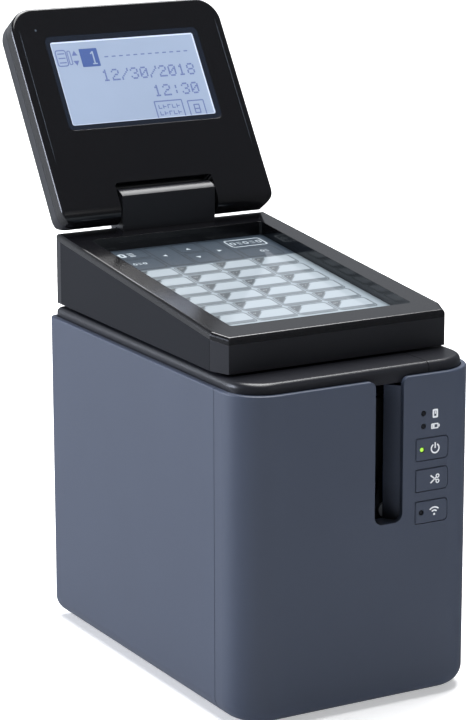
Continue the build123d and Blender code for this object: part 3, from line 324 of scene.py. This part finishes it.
DRESS = {
    CASE_ABS: ("front_cover", "left_side_cover", "right_side_cover", "rear_cover", "base_cover",
               "release_button", "power_button", "cut_button", "wireless_button"),
    INLAY_ABS: ("touch_sides",),
    GLOSS_ABS: ("display_bezel", "touch_bezel"),
    SATIN_ABS: ("touch_fascia", "tape_cover", "deck_strip", "touch_base", "hinge_block", "display_shell",
                "power_inlet", "tact_switches"),
    TUB_PP: ("cassette_tub",),
    CASSETTE_PS: ("cassette_lower", "cassette_upper"),
    ACETAL: ("ribbon_spool", "takeup_spool", "takeup_spindle", "platen_gear", "feed_gear", "idler_gear",
             "ribbon_idler_gear"),
    RUBBER: ("rubber_feet", "platen_rubber", "feed_rubber"),
    TAPE_FILM: ("label_tape", "tape_roll"),
    BOARD: ("main_board", "button_board", "key_board"),
    CERAMIC: ("print_head",),
    PIPE_OFF: ("light_pipes",),
    ZINC_STEEL: ("chassis_plate", "roller_bracket", "cutter_frame", "feed_motor", "cutter_motor",
                 "lcd_module"),
    GROUND_STEEL: ("platen_shaft", "feed_shaft", "motor_pinion", "cover_hinge_pins", "display_hinge_pins",
                   "case_screws", "cutter_pinion"),
    COATED_STEEL: ("fixed_blade", "moving_blade"),
    CAST_ALUMINIUM: ("head_holder",),
    NICKEL: ("usb_sockets", "network_socket"),
}


# ------------------------------------------------------------------ flat shapes
def arc(centre: Point, r: float, start: float, end: float, steps: int = 12) -> list[Point]:
    """Points along an arc.

    Args:
        centre: the arc's centre.
        r: its radius.
        start: first angle in degrees.
        end: last angle in degrees.
        steps: number of chords.

    Returns:
        The points in order.
    """
    turn = [radians(start + (end - start) * i / steps) for i in range(steps + 1)]
    return [(centre[0] + r * cos(a), centre[1] + r * sin(a)) for a in turn]


def band(centre: Point, r: float, width: float, start: float, end: float, steps: int = 14) -> list[Point]:
    """Outline of a ring's stretch of constant width."""
    outer = arc(centre, r + width / 2, start, end, steps)
    return outer + arc(centre, r - width / 2, end, start, steps)


def rounded(x0: float, x1: float, y0: float, y1: float, r: float, steps: int = 5) -> list[Point]:
    """Outline of a rectangle with round corners."""
    corners = (((x1 - r, y1 - r), 0), ((x0 + r, y1 - r), 90), ((x0 + r, y0 + r), 180),
               ((x1 - r, y0 + r), 270))
    points: list[Point] = []
    for centre, start in corners:
        points += arc(centre, r, start, start + 90, steps)
    return points


def bar(a: Point, b: Point, width: float) -> list[Point]:
    """Outline of a straight stroke from a to b."""
    along = Vector((b[0] - a[0], b[1] - a[1])).normalized() * (width / 2)
    across = Vector((-along.y, along.x))
    return [(a[0] - across.x, a[1] - across.y), (b[0] - across.x, b[1] - across.y),
            (b[0] + across.x, b[1] + across.y), (a[0] + across.x, a[1] + across.y)]


def frame_strip(x0: float, x1: float, y0: float, y1: float, r: float, width: float) -> list[list[Point]]:
    """Outlines of the four sides of a thin rounded frame, split into short quads."""
    outer = rounded(x0, x1, y0, y1, r)
    inner = rounded(x0 + width, x1 - width, y0 + width, y1 - width, max(r - width, width * 0.2))
    count = len(outer)
    return [[outer[i], outer[(i + 1) % count], inner[(i + 1) % count], inner[i]] for i in range(count)]


_materials: dict = {}


def material_of(finish: Moulding | Metal | Print) -> bpy.types.Material:
    """Gives the finish's material, built once."""
    if finish not in _materials:
        _materials[finish] = finish.build()
    return _materials[finish]


def loft(work: bmesh.types.BMesh, rings: list[list[Vector]]) -> None:
    """Skins closed rings of as many points each, one after the other, and caps both ends.

    Args:
        work: the mesh that gets the faces.
        rings: the rings, each a list of places in the same order.
    """
    loops = [[work.verts.new(place) for place in ring] for ring in rings]
    for a, b in zip(loops, loops[1:]):
        for i in range(len(a)):
            j = (i + 1) % len(a)
            work.faces.new((a[i], a[j], b[j], b[i]))
    work.faces.new(loops[-1])
    work.faces.new(list(reversed(loops[0])))


def new_piece(work: bmesh.types.BMesh, name: str, finish: Moulding | Print,
              body: str) -> bpy.types.Object:
    """Turns a finished mesh into a piece that rides on a body.

    Args:
        work: the mesh, which is freed here.
        name: the piece's name.
        finish: what it is made of.
        body: the body that carries it.

    Returns:
        The new object.
    """
    bmesh.ops.recalc_face_normals(work, faces=work.faces)
    bmesh.ops.triangulate(work, faces=[f for f in work.faces if len(f.verts) > 4])
    mesh = bpy.data.meshes.new(name)
    work.to_mesh(mesh)
    work.free()
    obj = bpy.data.objects.new(name, mesh)
    bpy.context.scene.collection.objects.link(obj)
    mesh.materials.append(material_of(finish))
    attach(obj, body)
    return obj


@dataclass
class Layer:
    """Flat shapes of one finish on a flat or tilted surface."""

    name: str
    finish: Print | Moulding
    place: Matrix
    body: str
    slot: str
    depth: float = 0.03 * MM
    lift: float = 0.0
    shapes: list[list[Point]] = field(default_factory=list)

    def add(self, *outlines: list[Point]) -> None:
        """Adds closed outlines in the surface's own X and Y, in metres."""
        self.shapes.extend(outlines)

    def build(self) -> bpy.types.Object:
        """Builds one object from the outlines, each a thin plate with closed sides.

        Returns:
            The new object.
        """
        work = bmesh.new()
        for outline in self.shapes:
            loft(work, [[self.place @ Vector((x, y, z)) for x, y in outline]
                        for z in (self.lift, self.lift + self.depth)])
        return new_piece(work, self.name, self.finish, self.body)


# ------------------------------------------------------------------ printer case
@dataclass
class PrinterCase:
    """The grey case with its printed marks and lamps."""

    ink: float = 0.04 * MM
    icon_x: float = 35.0 * MM
    status_z: float = 127.6 * MM
    battery_z: float = 122.1 * MM
    stroke: float = 0.62 * MM
    tape_half: Point = (1.35 * MM, 1.9 * MM)
    battery_half_h: float = 1.2 * MM
    power_ring_r: float = 1.95 * MM
    blade_reach: float = 2.1 * MM
    finger_r: float = 0.72 * MM
    wave_radii: Point = (1.7 * MM, 3.1 * MM)
    lamp_inset: float = 2.8 * MM
    lamp_r: float = 1.4 * MM
    lamp_core: float = 0.62

    def surface(self, node: str) -> Matrix:
        """Frame on the front face of a node: X right, Y up, Z out towards the viewer."""
        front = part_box(node)[0].y
        turn = Matrix.Rotation(radians(90), 4, "X")
        return Matrix.Translation((0, front, 0)) @ turn

    def dress(self) -> None:
        """Gives every solid of the frame its finish."""
        for finish, names in DRESS.items():
            for name in names:
                mesh = frame["nodes"][name].data
                mesh.materials.clear()
                mesh.materials.append(material_of(finish))

    def centre(self, node: str) -> Point:
        """Centre of a button's face in X and Z."""
        low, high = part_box(node)
        return (low.x + high.x) / 2, (low.z + high.z) / 2

    def sign(self, name: str, node: str) -> Layer:
        """A layer of white ink on a button's face."""
        return Layer(name, WHITE_INK, self.surface(node), node, "button_grey", self.ink)

    def status_marks(self) -> None:
        """Prints the tape mark and the battery mark beside the two upper lamps."""
        front = Layer("status_marks", WHITE_INK, self.surface("front_cover"), "printer", "grey_abs", self.ink)
        x, z = self.icon_x, self.status_z
        w, h = self.tape_half
        front.add(*frame_strip(x - w, x + w, z - h, z + h, 0.5 * MM, 0.75 * MM))
        front.add(bar((x, z - 0.2 * MM), (x, z + 1.0 * MM), 0.55 * MM))
        z = self.battery_z
        left, right, h = x - 2.0 * MM, x + 1.7 * MM, self.battery_half_h
        front.add(*frame_strip(left, right, z - h, z + h, 0.4 * MM, 0.55 * MM))
        front.add(rounded(right + 0.1 * MM, right + 0.6 * MM, z - h / 2, z + h / 2, 0.15 * MM))
        front.add(rounded(left + 0.7 * MM, left + 1.7 * MM, z - 0.8 * MM, z + 0.8 * MM, 0.15 * MM))
        front.build()

    def power_sign(self) -> None:
        """Prints the open ring with its bar."""
        x, (_, z) = self.icon_x, self.centre("power_button")
        power = self.sign("power_sign", "power_button")
        power.add(band((x, z - 0.1 * MM), self.power_ring_r, self.stroke, 120, 420, 26))
        power.add(bar((x, z), (x, z + 2.6 * MM), self.stroke))
        power.build()

    def scissors_sign(self) -> None:
        """Prints the scissors: two crossed blades with finger rings."""
        x, (_, z) = self.icon_x, self.centre("cut_button")
        cut = self.sign("scissors_sign", "cut_button")
        for way in (-1, 1):
            tip, pivot = (x - self.blade_reach, z - way * 1.7 * MM), (x + 0.8 * MM, z + way * 0.62 * MM)
            cut.add(bar(tip, pivot, self.stroke))
            cut.add(band((x + 1.45 * MM, z + way * 1.15 * MM), self.finger_r, self.stroke * 0.8, 0, 360, 18))
        cut.build()

    def wireless_sign(self) -> None:
        """Prints the radio waves over their dot."""
        x, (_, z) = self.icon_x, self.centre("wireless_button")
        waves = self.sign("wireless_sign", "wireless_button")
        foot = (x, z - 1.5 * MM)
        for r in self.wave_radii:
            waves.add(band(foot, r, self.stroke, 45, 135, 12))
        waves.add(arc(foot, 0.5 * MM, 0, 345, 12))
        waves.build()

    def lamp(self) -> None:
        """Lights the power lamp in its hole, with the green rim that the acrylic gives."""
        low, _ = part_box("power_button")
        _, z = self.centre("power_button")
        x = low.x + self.lamp_inset
        place = self.surface("light_pipes")
        rim = ("power_lamp_rim", LAMP_HALO, self.lamp_r, 0.02 * MM)
        core = ("power_lamp", LAMP_GREEN, self.lamp_r * self.lamp_core, 0.05 * MM)
        for name, finish, r, lift in (rim, core):
            disc = Layer(name, finish, place, "printer", "clear_pmma", 0.03 * MM, lift)
            disc.add(arc((x, z), r, 0, 345, 24))
            disc.build()

    def build(self) -> None:
        """Dresses the solids, prints every mark and lights the lamp."""
        self.dress()
        self.status_marks()
        self.power_sign()
        self.scissors_sign()
        self.wireless_sign()
        self.lamp()


# ------------------------------------------------------------------ touch unit
@dataclass
class TouchPanel:
    """The printed touch film under the bezel: header strip and a field of label keys."""

    rows: int = 6
    columns: int = 4
    pitch_x: float = 20.25 * MM
    pitch_y: float = 13.5 * MM
    key_half_w: float = 40.5 * MM
    key_back: float = 42.8 * MM
    header_back: float = 75.0 * MM
    glass_t: float = 1.2065 * MM
    line: float = 0.4 * MM
    bold_line: float = 0.75 * MM
    film: float = 0.02 * MM
    seam: float = 0.45 * MM
    key_round: float = 1.9 * MM
    shade_round: float = 1.2 * MM
    cell_round: float = 1.8 * MM
    mark_mm: Point = (2.3, 3.9)
    mark_size: float = 0.8 * MM
    mark_line: float = 0.26 * MM
    sheet_edge: float = 0.4 * MM
    sheet_gap: float = 0.2 * MM
    sheet_corner: float = 2.0 * MM
    corner_mm: tuple[Point, ...] = ((7.6, 1.1), (2.3, 1.1), (1.5, 1.9), (1.5, 8.4))
    face_mm: tuple[Point, ...] = ((2.0, 10.1), (18.3, 10.1), (19.1, 9.3), (19.1, 2.1), (18.1, 1.1),
                                  (9.0, 1.1), (8.0, 1.7), (1.7, 9.1))
    arrow_r: float = 1.5 * MM
    arrows_mm: tuple[tuple[float, float, int], ...] = ((-14.1, 59.9, 180), (0.5, 65.1, 90),
                                                       (-0.2, 53.2, 270), (13.3, 58.5, 0))
    legends_mm: tuple[tuple[float, float, int, float, float], ...] = (
        (-31.0, 66.0, 2, 5.0, 1.15), (-31.0, 52.6, 3, 2.6, 0.5),
        (31.2, 65.3, 5, 3.6, 0.6), (33.5, 51.5, 2, 2.6, 0.45))

    def __post_init__(self) -> None:
        """Works out the film's tilted plane from the glass solid."""
        low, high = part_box("touch_glass")
        self.tilt = atan2(high.z - low.z - self.glass_t, high.y - low.y)
        self.half_w = high.x - 0.4 * MM
        self.front = low.y / cos(self.tilt) + 0.8 * MM
        self.back = high.y / cos(self.tilt) - 0.8 * MM
        origin = Vector((0, 0, low.z + self.glass_t - low.y * tan(self.tilt)))
        self.place = Matrix.Translation(origin) @ Matrix.Rotation(self.tilt, 4, "X")

    def layer(self, name: str, finish: Print, level: int) -> Layer:
        """A film layer at a level above the sheet."""
        return Layer(name, finish, self.place, "cover", "clear_pmma", self.film, self.film * level)

    def sheet(self) -> None:
        """Builds the sheet that stands for the clear panel, with softened upper edges."""
        low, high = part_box("touch_glass")
        edge, c = self.sheet_edge, cos(self.tilt)
        levels = ((0.0, 0.03 * MM - self.glass_t), (0.0, -edge), (0.4 * edge, -0.3 * edge), (edge, 0.0))
        rings = []
        for inset, z in levels:
            outline = rounded(low.x + inset, high.x - inset, low.y / c + self.sheet_gap + inset,
                              high.y / c - self.sheet_gap - inset, self.sheet_corner - inset)
            rings.append([self.place @ Vector((x, y, z)) for x, y in outline])
        work = bmesh.new()
        loft(work, rings)
        pane = new_piece(work, "touch_sheet", HEADER_LINE, "cover")
        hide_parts("touch_glass")

    def keys(self) -> None:
        """Prints the label keys: frame, dark corner, pale face and the grey strip of painted shade below it.
        """
        ground = self.layer("key_ground", KEY_GROUND, 0)
        ground.add(rounded(-self.half_w, self.half_w, self.front, self.key_back, 1.5 * MM))
        ground.build()
        shade = self.layer("key_painted_shades", KEY_PAINTED_SHADE, 1)
        corner = self.layer("key_corners", KEY_CORNER, 2)
        face = self.layer("key_faces", KEY_FACE, 3)
        lines = self.layer("key_frames", KEY_LINE, 2)
        marks = self.layer("key_marks", KEY_MARK, 4)
        for column in range(self.columns):
            for row in range(self.rows):
                x = -self.key_half_w + column * self.pitch_x
                b = self.key_back - row * self.pitch_y
                self.key(shade, corner, face, lines, x, b)
                right, down = self.mark_mm
                self.key_mark(marks, x + right * MM, b - down * MM, column * self.rows + row)
        for layer in (shade, corner, face, lines, marks):
            layer.build()

    def key(self, shade: Layer, corner: Layer, face: Layer, lines: Layer, x: float, b: float) -> None:
        """Prints one key.

        Args:
            shade: layer of the grey strips of painted shade.
            corner: layer of the dark corners.
            face: layer of the pale faces.
            lines: layer of the outlines.
            x: the key's left edge.
            b: the key's back edge.
        """
        end = x + self.pitch_x - self.seam
        front = b - self.pitch_y
        lines.add(*frame_strip(x + self.seam, end, front + self.line, b - self.line, self.key_round,
                               self.line))
        # Painted shade: a grey strip below the key face, as if under the key's front bevel.
        shade.add(rounded(x + 1.4 * MM, end - 0.7 * MM, front + 1.1 * MM, b - 3.0 * MM, self.shade_round))
        for layer, outline in ((corner, self.corner_mm), (face, self.face_mm)):
            layer.add([(x + right * MM, b - down * MM) for right, down in outline])

    def key_mark(self, layer: Layer, x: float, y: float, number: int) -> None:
        """Small plain strokes in a key's dark corner, different from key to key."""
        size = self.mark_size
        for i in range(3):
            if (number >> i) & 1 or i == 0:
                layer.add(bar((x + i * size, y), (x + i * size + size * 0.6, y + size), self.mark_line))

    def header(self) -> None:
        """Prints the slate header: two keys at the left, four arrows, and two keys at the right."""
        strip = self.layer("header_strip", HEADER_SLATE, 0)
        strip.add(rounded(-self.half_w, self.half_w, self.key_back + 0.05 * MM, self.back, 1.5 * MM))
        strip.build()
        lines = self.layer("header_lines", HEADER_LINE, 1)
        marks = self.layer("header_marks", HEADER_MARK, 2)
        left, top = -self.half_w + 1.6 * MM, self.header_back - 1.6 * MM
        foot, lower, upper = 44.6 * MM, 59.4 * MM, 60.6 * MM
        bold = (21.5 * MM, 40.8 * MM, 59.9 * MM, 70.6 * MM)
        cells = ((left, -20.6 * MM, upper, top), (left, -20.6 * MM, foot, lower),
                 (-19.2 * MM, -6.2 * MM, foot, top),
                 (-5.1 * MM, 7.5 * MM, upper, top), (-5.1 * MM, 7.5 * MM, foot, lower),
                 (8.6 * MM, 19.4 * MM, foot, top), (21.5 * MM, 40.8 * MM, foot, 57.4 * MM))
        for cell in cells:
            lines.add(*frame_strip(*cell, self.cell_round, self.line))
        marks.add(*frame_strip(*bold, self.cell_round, self.bold_line))
        for x, y, turn in self.arrows_mm:
            marks.add(arc((x * MM, y * MM), self.arrow_r, turn, turn + 240, 2))
        for x, y, count, height, width in self.legends_mm:
            self.strokes(marks, (x * MM, y * MM), count, height * MM, width * MM)
        lines.build()
        marks.build()

    def strokes(self, layer: Layer, centre: Point, count: int, height: float, width: float) -> None:
        """Prints a row of plain loops and bars that stands for a key's legend.

        Args:
            layer: where the strokes go.
            centre: middle of the row.
            count: number of signs.
            height: their height.
            width: width of a stroke.
        """
        pitch = height * 0.95
        low, high = centre[1] - height / 2, centre[1] + height / 2
        for i in range(count):
            x = centre[0] + (i - (count - 1) / 2) * pitch
            if i % 2 == 0:
                layer.add(*frame_strip(x - pitch * 0.36, x + pitch * 0.36, low, high, pitch * 0.25, width))
            else:
                for y in (low + width / 2, centre[1], high - width / 2):
                    layer.add(bar((x - pitch * 0.3, y), (x + pitch * 0.3, y), width * 0.7))

    def build(self) -> None:
        """Builds the sheet and everything printed on it."""
        self.sheet()
        self.keys()
        self.header()


# ------------------------------------------------------------------ display
# Five columns by seven rows of LCD dots for each character.
GLYPHS = {
    "0": ("01110", "10001", "10011", "10101", "11001", "10001", "01110"),
    "1": ("00100", "01100", "00100", "00100", "00100", "00100", "01110"),
    "2": ("01110", "10001", "00001", "00110", "01000", "10000", "11111"),
    "3": ("01110", "10001", "00001", "00110", "00001", "10001", "01110"),
    "8": ("01110", "10001", "10001", "01110", "10001", "10001", "01110"),
    "/": ("00001", "00001", "00010", "00100", "01000", "10000", "10000"),
    ":": ("00000", "00100", "00100", "00000", "00100", "00100", "00000"),
}


@dataclass
class Display:
    """The tilting display: lit LCD field, its contents, and trim on the bezel."""

    lean: float = 33.1
    dot_w: float = 0.81 * MM
    dot_h: float = 0.86 * MM
    dot_fill: float = 0.92
    letter_pitch: float = 6.2
    line: float = 0.55 * MM
    edge_w: float = 0.8 * MM
    dashes: int = 12
    dash_x: float = -12.3 * MM
    dash_z: float = 74.3 * MM
    dash_pitch: float = 3.85 * MM
    dash_w: float = 2.0 * MM
    arrow_x: float = -27.3 * MM
    arrow_r: float = 1.7 * MM
    date_end: Point = (34.0 * MM, 61.8 * MM)
    time_end: Point = (33.3 * MM, 51.9 * MM)
    cassette: Box = (-37.2 * MM, -31.4 * MM, 70.8 * MM, 79.4 * MM)
    page: Box = (-24.6 * MM, -15.3 * MM, 69.8 * MM, 79.2 * MM)
    sign_box: Box = (26.8 * MM, 30.0 * MM, 41.6 * MM, 46.4 * MM)
    film: float = 0.02 * MM
    trim_x: float = 51.9 * MM
    trim_z0: float = 22.0 * MM
    trim_z1: float = 91.0 * MM
    field_x0: float = -38.2 * MM
    field_x1: float = 37.4 * MM
    field_z0: float = 40.7 * MM
    field_z1: float = 83.5 * MM
    glass_x: float = 40.5 * MM
    glass_z0: float = 38.2 * MM
    glass_z1: float = 86.6 * MM
    glass_corner: float = 3.0 * MM
    glass_gap: float = 0.05 * MM
    glass_depth: float = 0.95 * MM
    glass_sink: float = -0.98 * MM
    face: float = 7.2 * MM
    rib_half_w: float = 0.22 * MM
    rib_h: float = 0.16 * MM
    spot: Point = (-43.6 * MM, 90.3 * MM)
    spot_r: float = 0.55 * MM

    def __post_init__(self) -> None:
        """Works out the display's own frame: X right, Y up the face, Z out of it."""
        joint = next(j for j in frame["joints"] if j["name"] == "display_tilt")
        axis = Matrix.Translation(joint["pos_m"]) @ Matrix.Rotation(radians(-self.lean), 4, "X")
        self.place = axis @ Matrix.Translation((0, -self.face, 0)) @ Matrix.Rotation(radians(90), 4, "X")

    def layer(self, name: str, finish: Print | Moulding, level: int, slot: str = "clear_pmma") -> Layer:
        """A layer at a level above the window."""
        return Layer(name, finish, self.place, "display", slot, self.film, self.film * level)

    def window(self) -> None:
        """Builds the window: dark border below, lit field with its brighter edge."""
        glass = Layer("display_window", LCD_BORDER, self.place, "display", "clear_pmma", self.glass_depth,
                      self.glass_sink)
        gap = self.glass_gap
        glass.add(rounded(-self.glass_x + gap, self.glass_x - gap, self.glass_z0 + gap, self.glass_z1 - gap,
                          self.glass_corner))
        pane = glass.build()
        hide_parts("lcd_window")
        x0, x1, z0, z1 = self.field_x0, self.field_x1, self.field_z0, self.field_z1
        lit = self.layer("lcd_field", LCD_GROUND, 0)
        lit.add(rounded(x0, x1, z0, z1, 1.0 * MM))
        lit.build()
        edge = self.layer("lcd_edge", LCD_EDGE, 1)
        w = self.edge_w
        edge.add(*frame_strip(x0, x1, z0, z1, 1.0 * MM, w * 0.3))
        edge.add(bar((x0 + w, z1 - w / 2), (x1 - w, z1 - w / 2), w * 0.8))
        edge.add(bar((x1 - w / 2, z0 + w), (x1 - w / 2, z1 - w), w * 0.8))
        edge.build()

    def text(self, layer: Layer, words: str, right: float, base: float) -> None:
        """Writes digits in LCD dots.

        Args:
            layer: where the dots go.
            words: the characters, each in GLYPHS.
            right: right end of the last character.
            base: lower edge of the characters.
        """
        pitch = self.letter_pitch * self.dot_w
        w, h = self.dot_w * self.dot_fill, self.dot_h * self.dot_fill
        for number, letter in enumerate(words):
            left = right - (len(words) - number) * pitch
            for row, bits in enumerate(GLYPHS[letter]):
                for column, bit in enumerate(bits):
                    if bit == "1":
                        x, y = left + column * self.dot_w, base + (6 - row) * self.dot_h
                        layer.add([(x, y), (x + w, y), (x + w, y + h), (x, y + h)])

    def contents(self) -> None:
        """Draws the LCD's contents: cassette sign, arrows, page number, digits and two boxes."""
        ink = self.layer("lcd_pixels", LCD_DOT, 2)
        self.cassette_sign(ink)
        for z, turn in ((76.9 * MM, 90), (72.5 * MM, 270)):
            ink.add(arc((self.arrow_x, z), self.arrow_r, turn, turn + 240, 2))
        self.page_number()
        for k in range(self.dashes):
            x = self.dash_x + k * self.dash_pitch
            ink.add(bar((x, self.dash_z), (x + self.dash_w, self.dash_z), self.line))
        self.text(ink, "12/30/2018", *self.date_end)
        self.text(ink, "12:30", *self.time_end)
        self.boxes(ink)
        ink.build()

    def cassette_sign(self, ink: Layer) -> None:
        """Draws the small cassette: a body with three bars and a narrow lid."""
        x0, x1, z0, z1 = self.cassette
        ink.add(*frame_strip(x0, x1, z0, z1, 1.4 * MM, self.line))
        for k in range(3):
            z = z0 + (2.0 + 2.3 * k) * MM
            ink.add(bar((x0 + 1.2 * MM, z), (x1 - 1.0 * MM, z), self.line))
        lid = (x1 + 0.3 * MM, x1 + 2.2 * MM, z0 + 0.6 * MM, z1 - 0.6 * MM)
        ink.add(*frame_strip(*lid, 0.8 * MM, self.line * 0.8))

    def page_number(self) -> None:
        """Draws the dark page field with its light digit one."""
        x0, x1, z0, z1 = self.page
        solid = self.layer("lcd_page_field", LCD_SOLID, 2)
        solid.add(rounded(x0, x1, z0, z1, 0.4 * MM))
        solid.build()
        digit = self.layer("lcd_page_digit", LCD_GROUND, 3)
        x, half, low, high = x1 - 2.6 * MM, 1.2 * MM, z0 + 1.4 * MM, z1 - 1.6 * MM
        digit.add(bar((x, low), (x, high), 0.7 * MM))
        digit.add(bar((x - half, high - 1.3 * MM), (x, high), 0.6 * MM))
        digit.add(bar((x - half, low), (x + half, low), 0.6 * MM))
        digit.build()

    def boxes(self, ink: Layer) -> None:
        """Draws the two soft-key boxes that run off the field's lower edge, with plain strokes inside."""
        foot = self.field_z0 + 0.15 * MM
        for x0, x1, top in ((6.7 * MM, 21.2 * MM, 49.3 * MM), (24.2 * MM, 32.6 * MM, 48.3 * MM)):
            ink.add(bar((x0, foot), (x0, top), self.line), bar((x1, foot), (x1, top), self.line),
                    bar((x0, top), (x1, top), self.line))
        half, thin = 1.0 * MM, self.line * 0.8
        for z in (43.0 * MM, 46.4 * MM):
            for k in range(5):
                x, tick = (8.5 + 2.4 * k) * MM, z + (k % 3 - 1) * 0.8 * MM
                ink.add(bar((x, z - half), (x, z + half), thin), bar((x, tick), (x + 1.5 * MM, tick), thin))
        x0, x1, z0, z1 = self.sign_box
        middle = (z0 + z1) / 2
        ink.add(*frame_strip(x0, x1, z0, z1, 0.3 * MM, self.line))
        ink.add(bar((x0, middle), (x1, middle), self.line))

    def trim(self) -> None:
        """Adds the two slender ribs on the bezel's face, in a pale colour that paints the line of light they
        catch.
        """
        work = bmesh.new()
        low, high = self.trim_z0, self.trim_z1
        stations = ((low, 0.05), (low + 6 * MM, 0.7), (low + 20 * MM, 1.0), (high - 6 * MM, 1.0),
                    (high, 0.05))
        for side in (-1, 1):
            rings = []
            for z, share in stations:
                half, height = self.rib_half_w * share, self.rib_h * share
                section = ((-half, -self.film), (-0.3 * half, height), (0.3 * half, height),
                           (half, -self.film))
                rings.append([self.place @ Vector((side * self.trim_x + x, z, y)) for x, y in section])
            loft(work, rings)
        # The ribs get a pale colour: a painted highlight along each.
        new_piece(work, "display_trim", RIB_PAINTED_HIGHLIGHT_ABS, "display")

    def dimple(self) -> None:
        """Prints the small dark spot in the bezel's upper left corner."""
        layer = self.layer("bezel_spot", HEADER_SLATE, 0, "black_gloss_abs")
        layer.add(arc(self.spot, self.spot_r, 0, 345, 16))
        layer.build()

    def build(self) -> None:
        """Builds the window, its contents, the trim and the spot."""
        self.window()
        self.contents()
        self.trim()
        self.dimple()


# ------------------------------------------------------------------ studio
@dataclass(frozen=True)
class Softbox:
    """A rectangular soft light that looks at the printer."""

    name: str
    place: tuple[float, float, float]
    size: Point
    power: float
    colour: str = "#ffffff"
    aim: tuple[float, float, float] = (0.0, 0.0, 0.14)

    def build(self) -> None:
        """Adds the light."""
        light = bpy.data.lights.new(self.name, "AREA")
        light.shape = "RECTANGLE"
        light.size, light.size_y = self.size
        light.energy = self.power
        light.color = linear(self.colour)[:3]
        obj = bpy.data.objects.new(self.name, light)
        obj.location = self.place
        obj.rotation_euler = (Vector(self.aim) - Vector(self.place)).to_track_quat("-Z", "Y").to_euler()
        obj.visible_camera = False
        bpy.context.scene.collection.objects.link(obj)


@dataclass
class Studio:
    """Pale floor, soft light and the camera."""

    floor_half: float = 9.0
    floor_glow: float = 0.42
    camera_place: tuple[float, float, float] = (-0.59122, -1.02702, 0.42799)
    camera_turn: tuple[float, float, float] = (76.15, 0.136, -29.4435)
    lens_mm: float = 136.96
    world_colour: str = "#b0b4ba"
    world_strength: float = 0.3
    bright_strength: float = 1.5
    bright_way: tuple[float, float, float] = (-0.5, 0.87, -0.2)

    def floor(self) -> None:
        """Lays a large pale floor."""
        mesh = bpy.data.meshes.new("studio_floor")
        f = self.floor_half
        mesh.from_pydata([(-f, -f, 0), (f, -f, 0), (f, f, 0), (-f, f, 0)], [], [(0, 1, 2, 3)])
        obj = bpy.data.objects.new("studio_floor", mesh)
        bpy.context.scene.collection.objects.link(obj)
        material, tree, shader = new_material("pale_paper_floor")
        place = add_node(tree, "TexCoord").outputs["Object"]
        fibre = add_node(tree, "TexNoise", {"Vector": place}, Scale=grain_scale(60.0), Detail=4.0)
        tone = add_node(tree, "ValToRGB", {"Fac": fibre.outputs["Fac"]})
        tone.color_ramp.elements[0].color = linear("#f3f3f4")
        tone.color_ramp.elements[1].color = linear("#f8f8f8")
        tree.links.new(tone.outputs["Color"], shader.inputs["Base Color"])
        shader.inputs["Roughness"].default_value = 0.9
        shader.inputs["Emission Color"].default_value = linear("#ffffff")
        shader.inputs["Emission Strength"].default_value = self.floor_glow
        shader.inputs["Specular IOR Level"].default_value = 0.1
        mesh.materials.append(material)
        obj.visible_glossy = False

    def lights(self) -> None:
        """Sets the soft lights from the left, front, above and behind, the air and the plain view."""
        boxes = (
            Softbox("left_key", (-2.2, 1.15, 0.55), (0.9, 1.2), 43.0, colour="#e6edff"),
            Softbox("left_strip", (-1.7, 1.9, 0.5), (0.16, 1.6), 14.0, colour="#e8f0ff"),
            Softbox("front_fill", (0.9, -2.4, 1.2), (0.5, 1.4), 2.0),
            Softbox("overhead", (0.0, -0.1, 2.4), (1.4, 1.4), 43.0),
            Softbox("back_glow", (2.3, 2.9, 2.1), (1.5, 1.2), 2.4, colour="#f2f7ff"),
            Softbox("floor_wash", (0.8, 1.3, 3.3), (2.4, 2.4), 185.0, aim=(0.4, 0.6, 0.0)),
        )
        for box in boxes:
            box.build()
        self.air()
        bpy.context.scene.view_settings.view_transform = "Standard"

    def air(self) -> None:
        """Makes the room's air: dim all round, brighter low behind the left where the side mirrors it."""
        world = bpy.data.worlds.new("studio_air")
        world.use_nodes = True
        tree = world.node_tree
        outwards = add_node(tree, "TexCoord").outputs["Generated"]
        facing = add_node(tree, "VectorMath", {0: outwards}, operation="DOT_PRODUCT")
        facing.inputs[1].default_value = Vector(self.bright_way).normalized()
        strength = add_node(tree, "MapRange", {"Value": facing.outputs["Value"]}, From_Min=0.55,
                            From_Max=0.95, To_Min=self.world_strength, To_Max=self.bright_strength)
        sky = tree.nodes["Background"]
        sky.inputs["Color"].default_value = linear(self.world_colour)
        tree.links.new(strength.outputs["Result"], sky.inputs["Strength"])
        bpy.context.scene.world = world

    def camera(self) -> None:
        """Places the camera and makes it the scene's."""
        data = bpy.data.cameras.new("studio_camera")
        data.sensor_width = 36.0
        data.lens = self.lens_mm
        data.clip_start = 0.05
        obj = bpy.data.objects.new("studio_camera", data)
        obj.location = self.camera_place
        obj.rotation_euler = [radians(a) for a in self.camera_turn]
        bpy.context.scene.collection.objects.link(obj)
        bpy.context.scene.camera = obj


def main() -> None:
    """Builds the studio and every part of the printer in order."""
    logging.basicConfig(level=logging.INFO)
    studio = Studio()
    studio.camera()
    studio.floor()
    studio.lights()
    LOG.info("studio ready")
    PrinterCase().build()
    LOG.info("case dressed and marked")
    TouchPanel().build()
    LOG.info("touch panel printed")
    Display().build()
    LOG.info("display built")


if __name__ == "__main__":
    main()
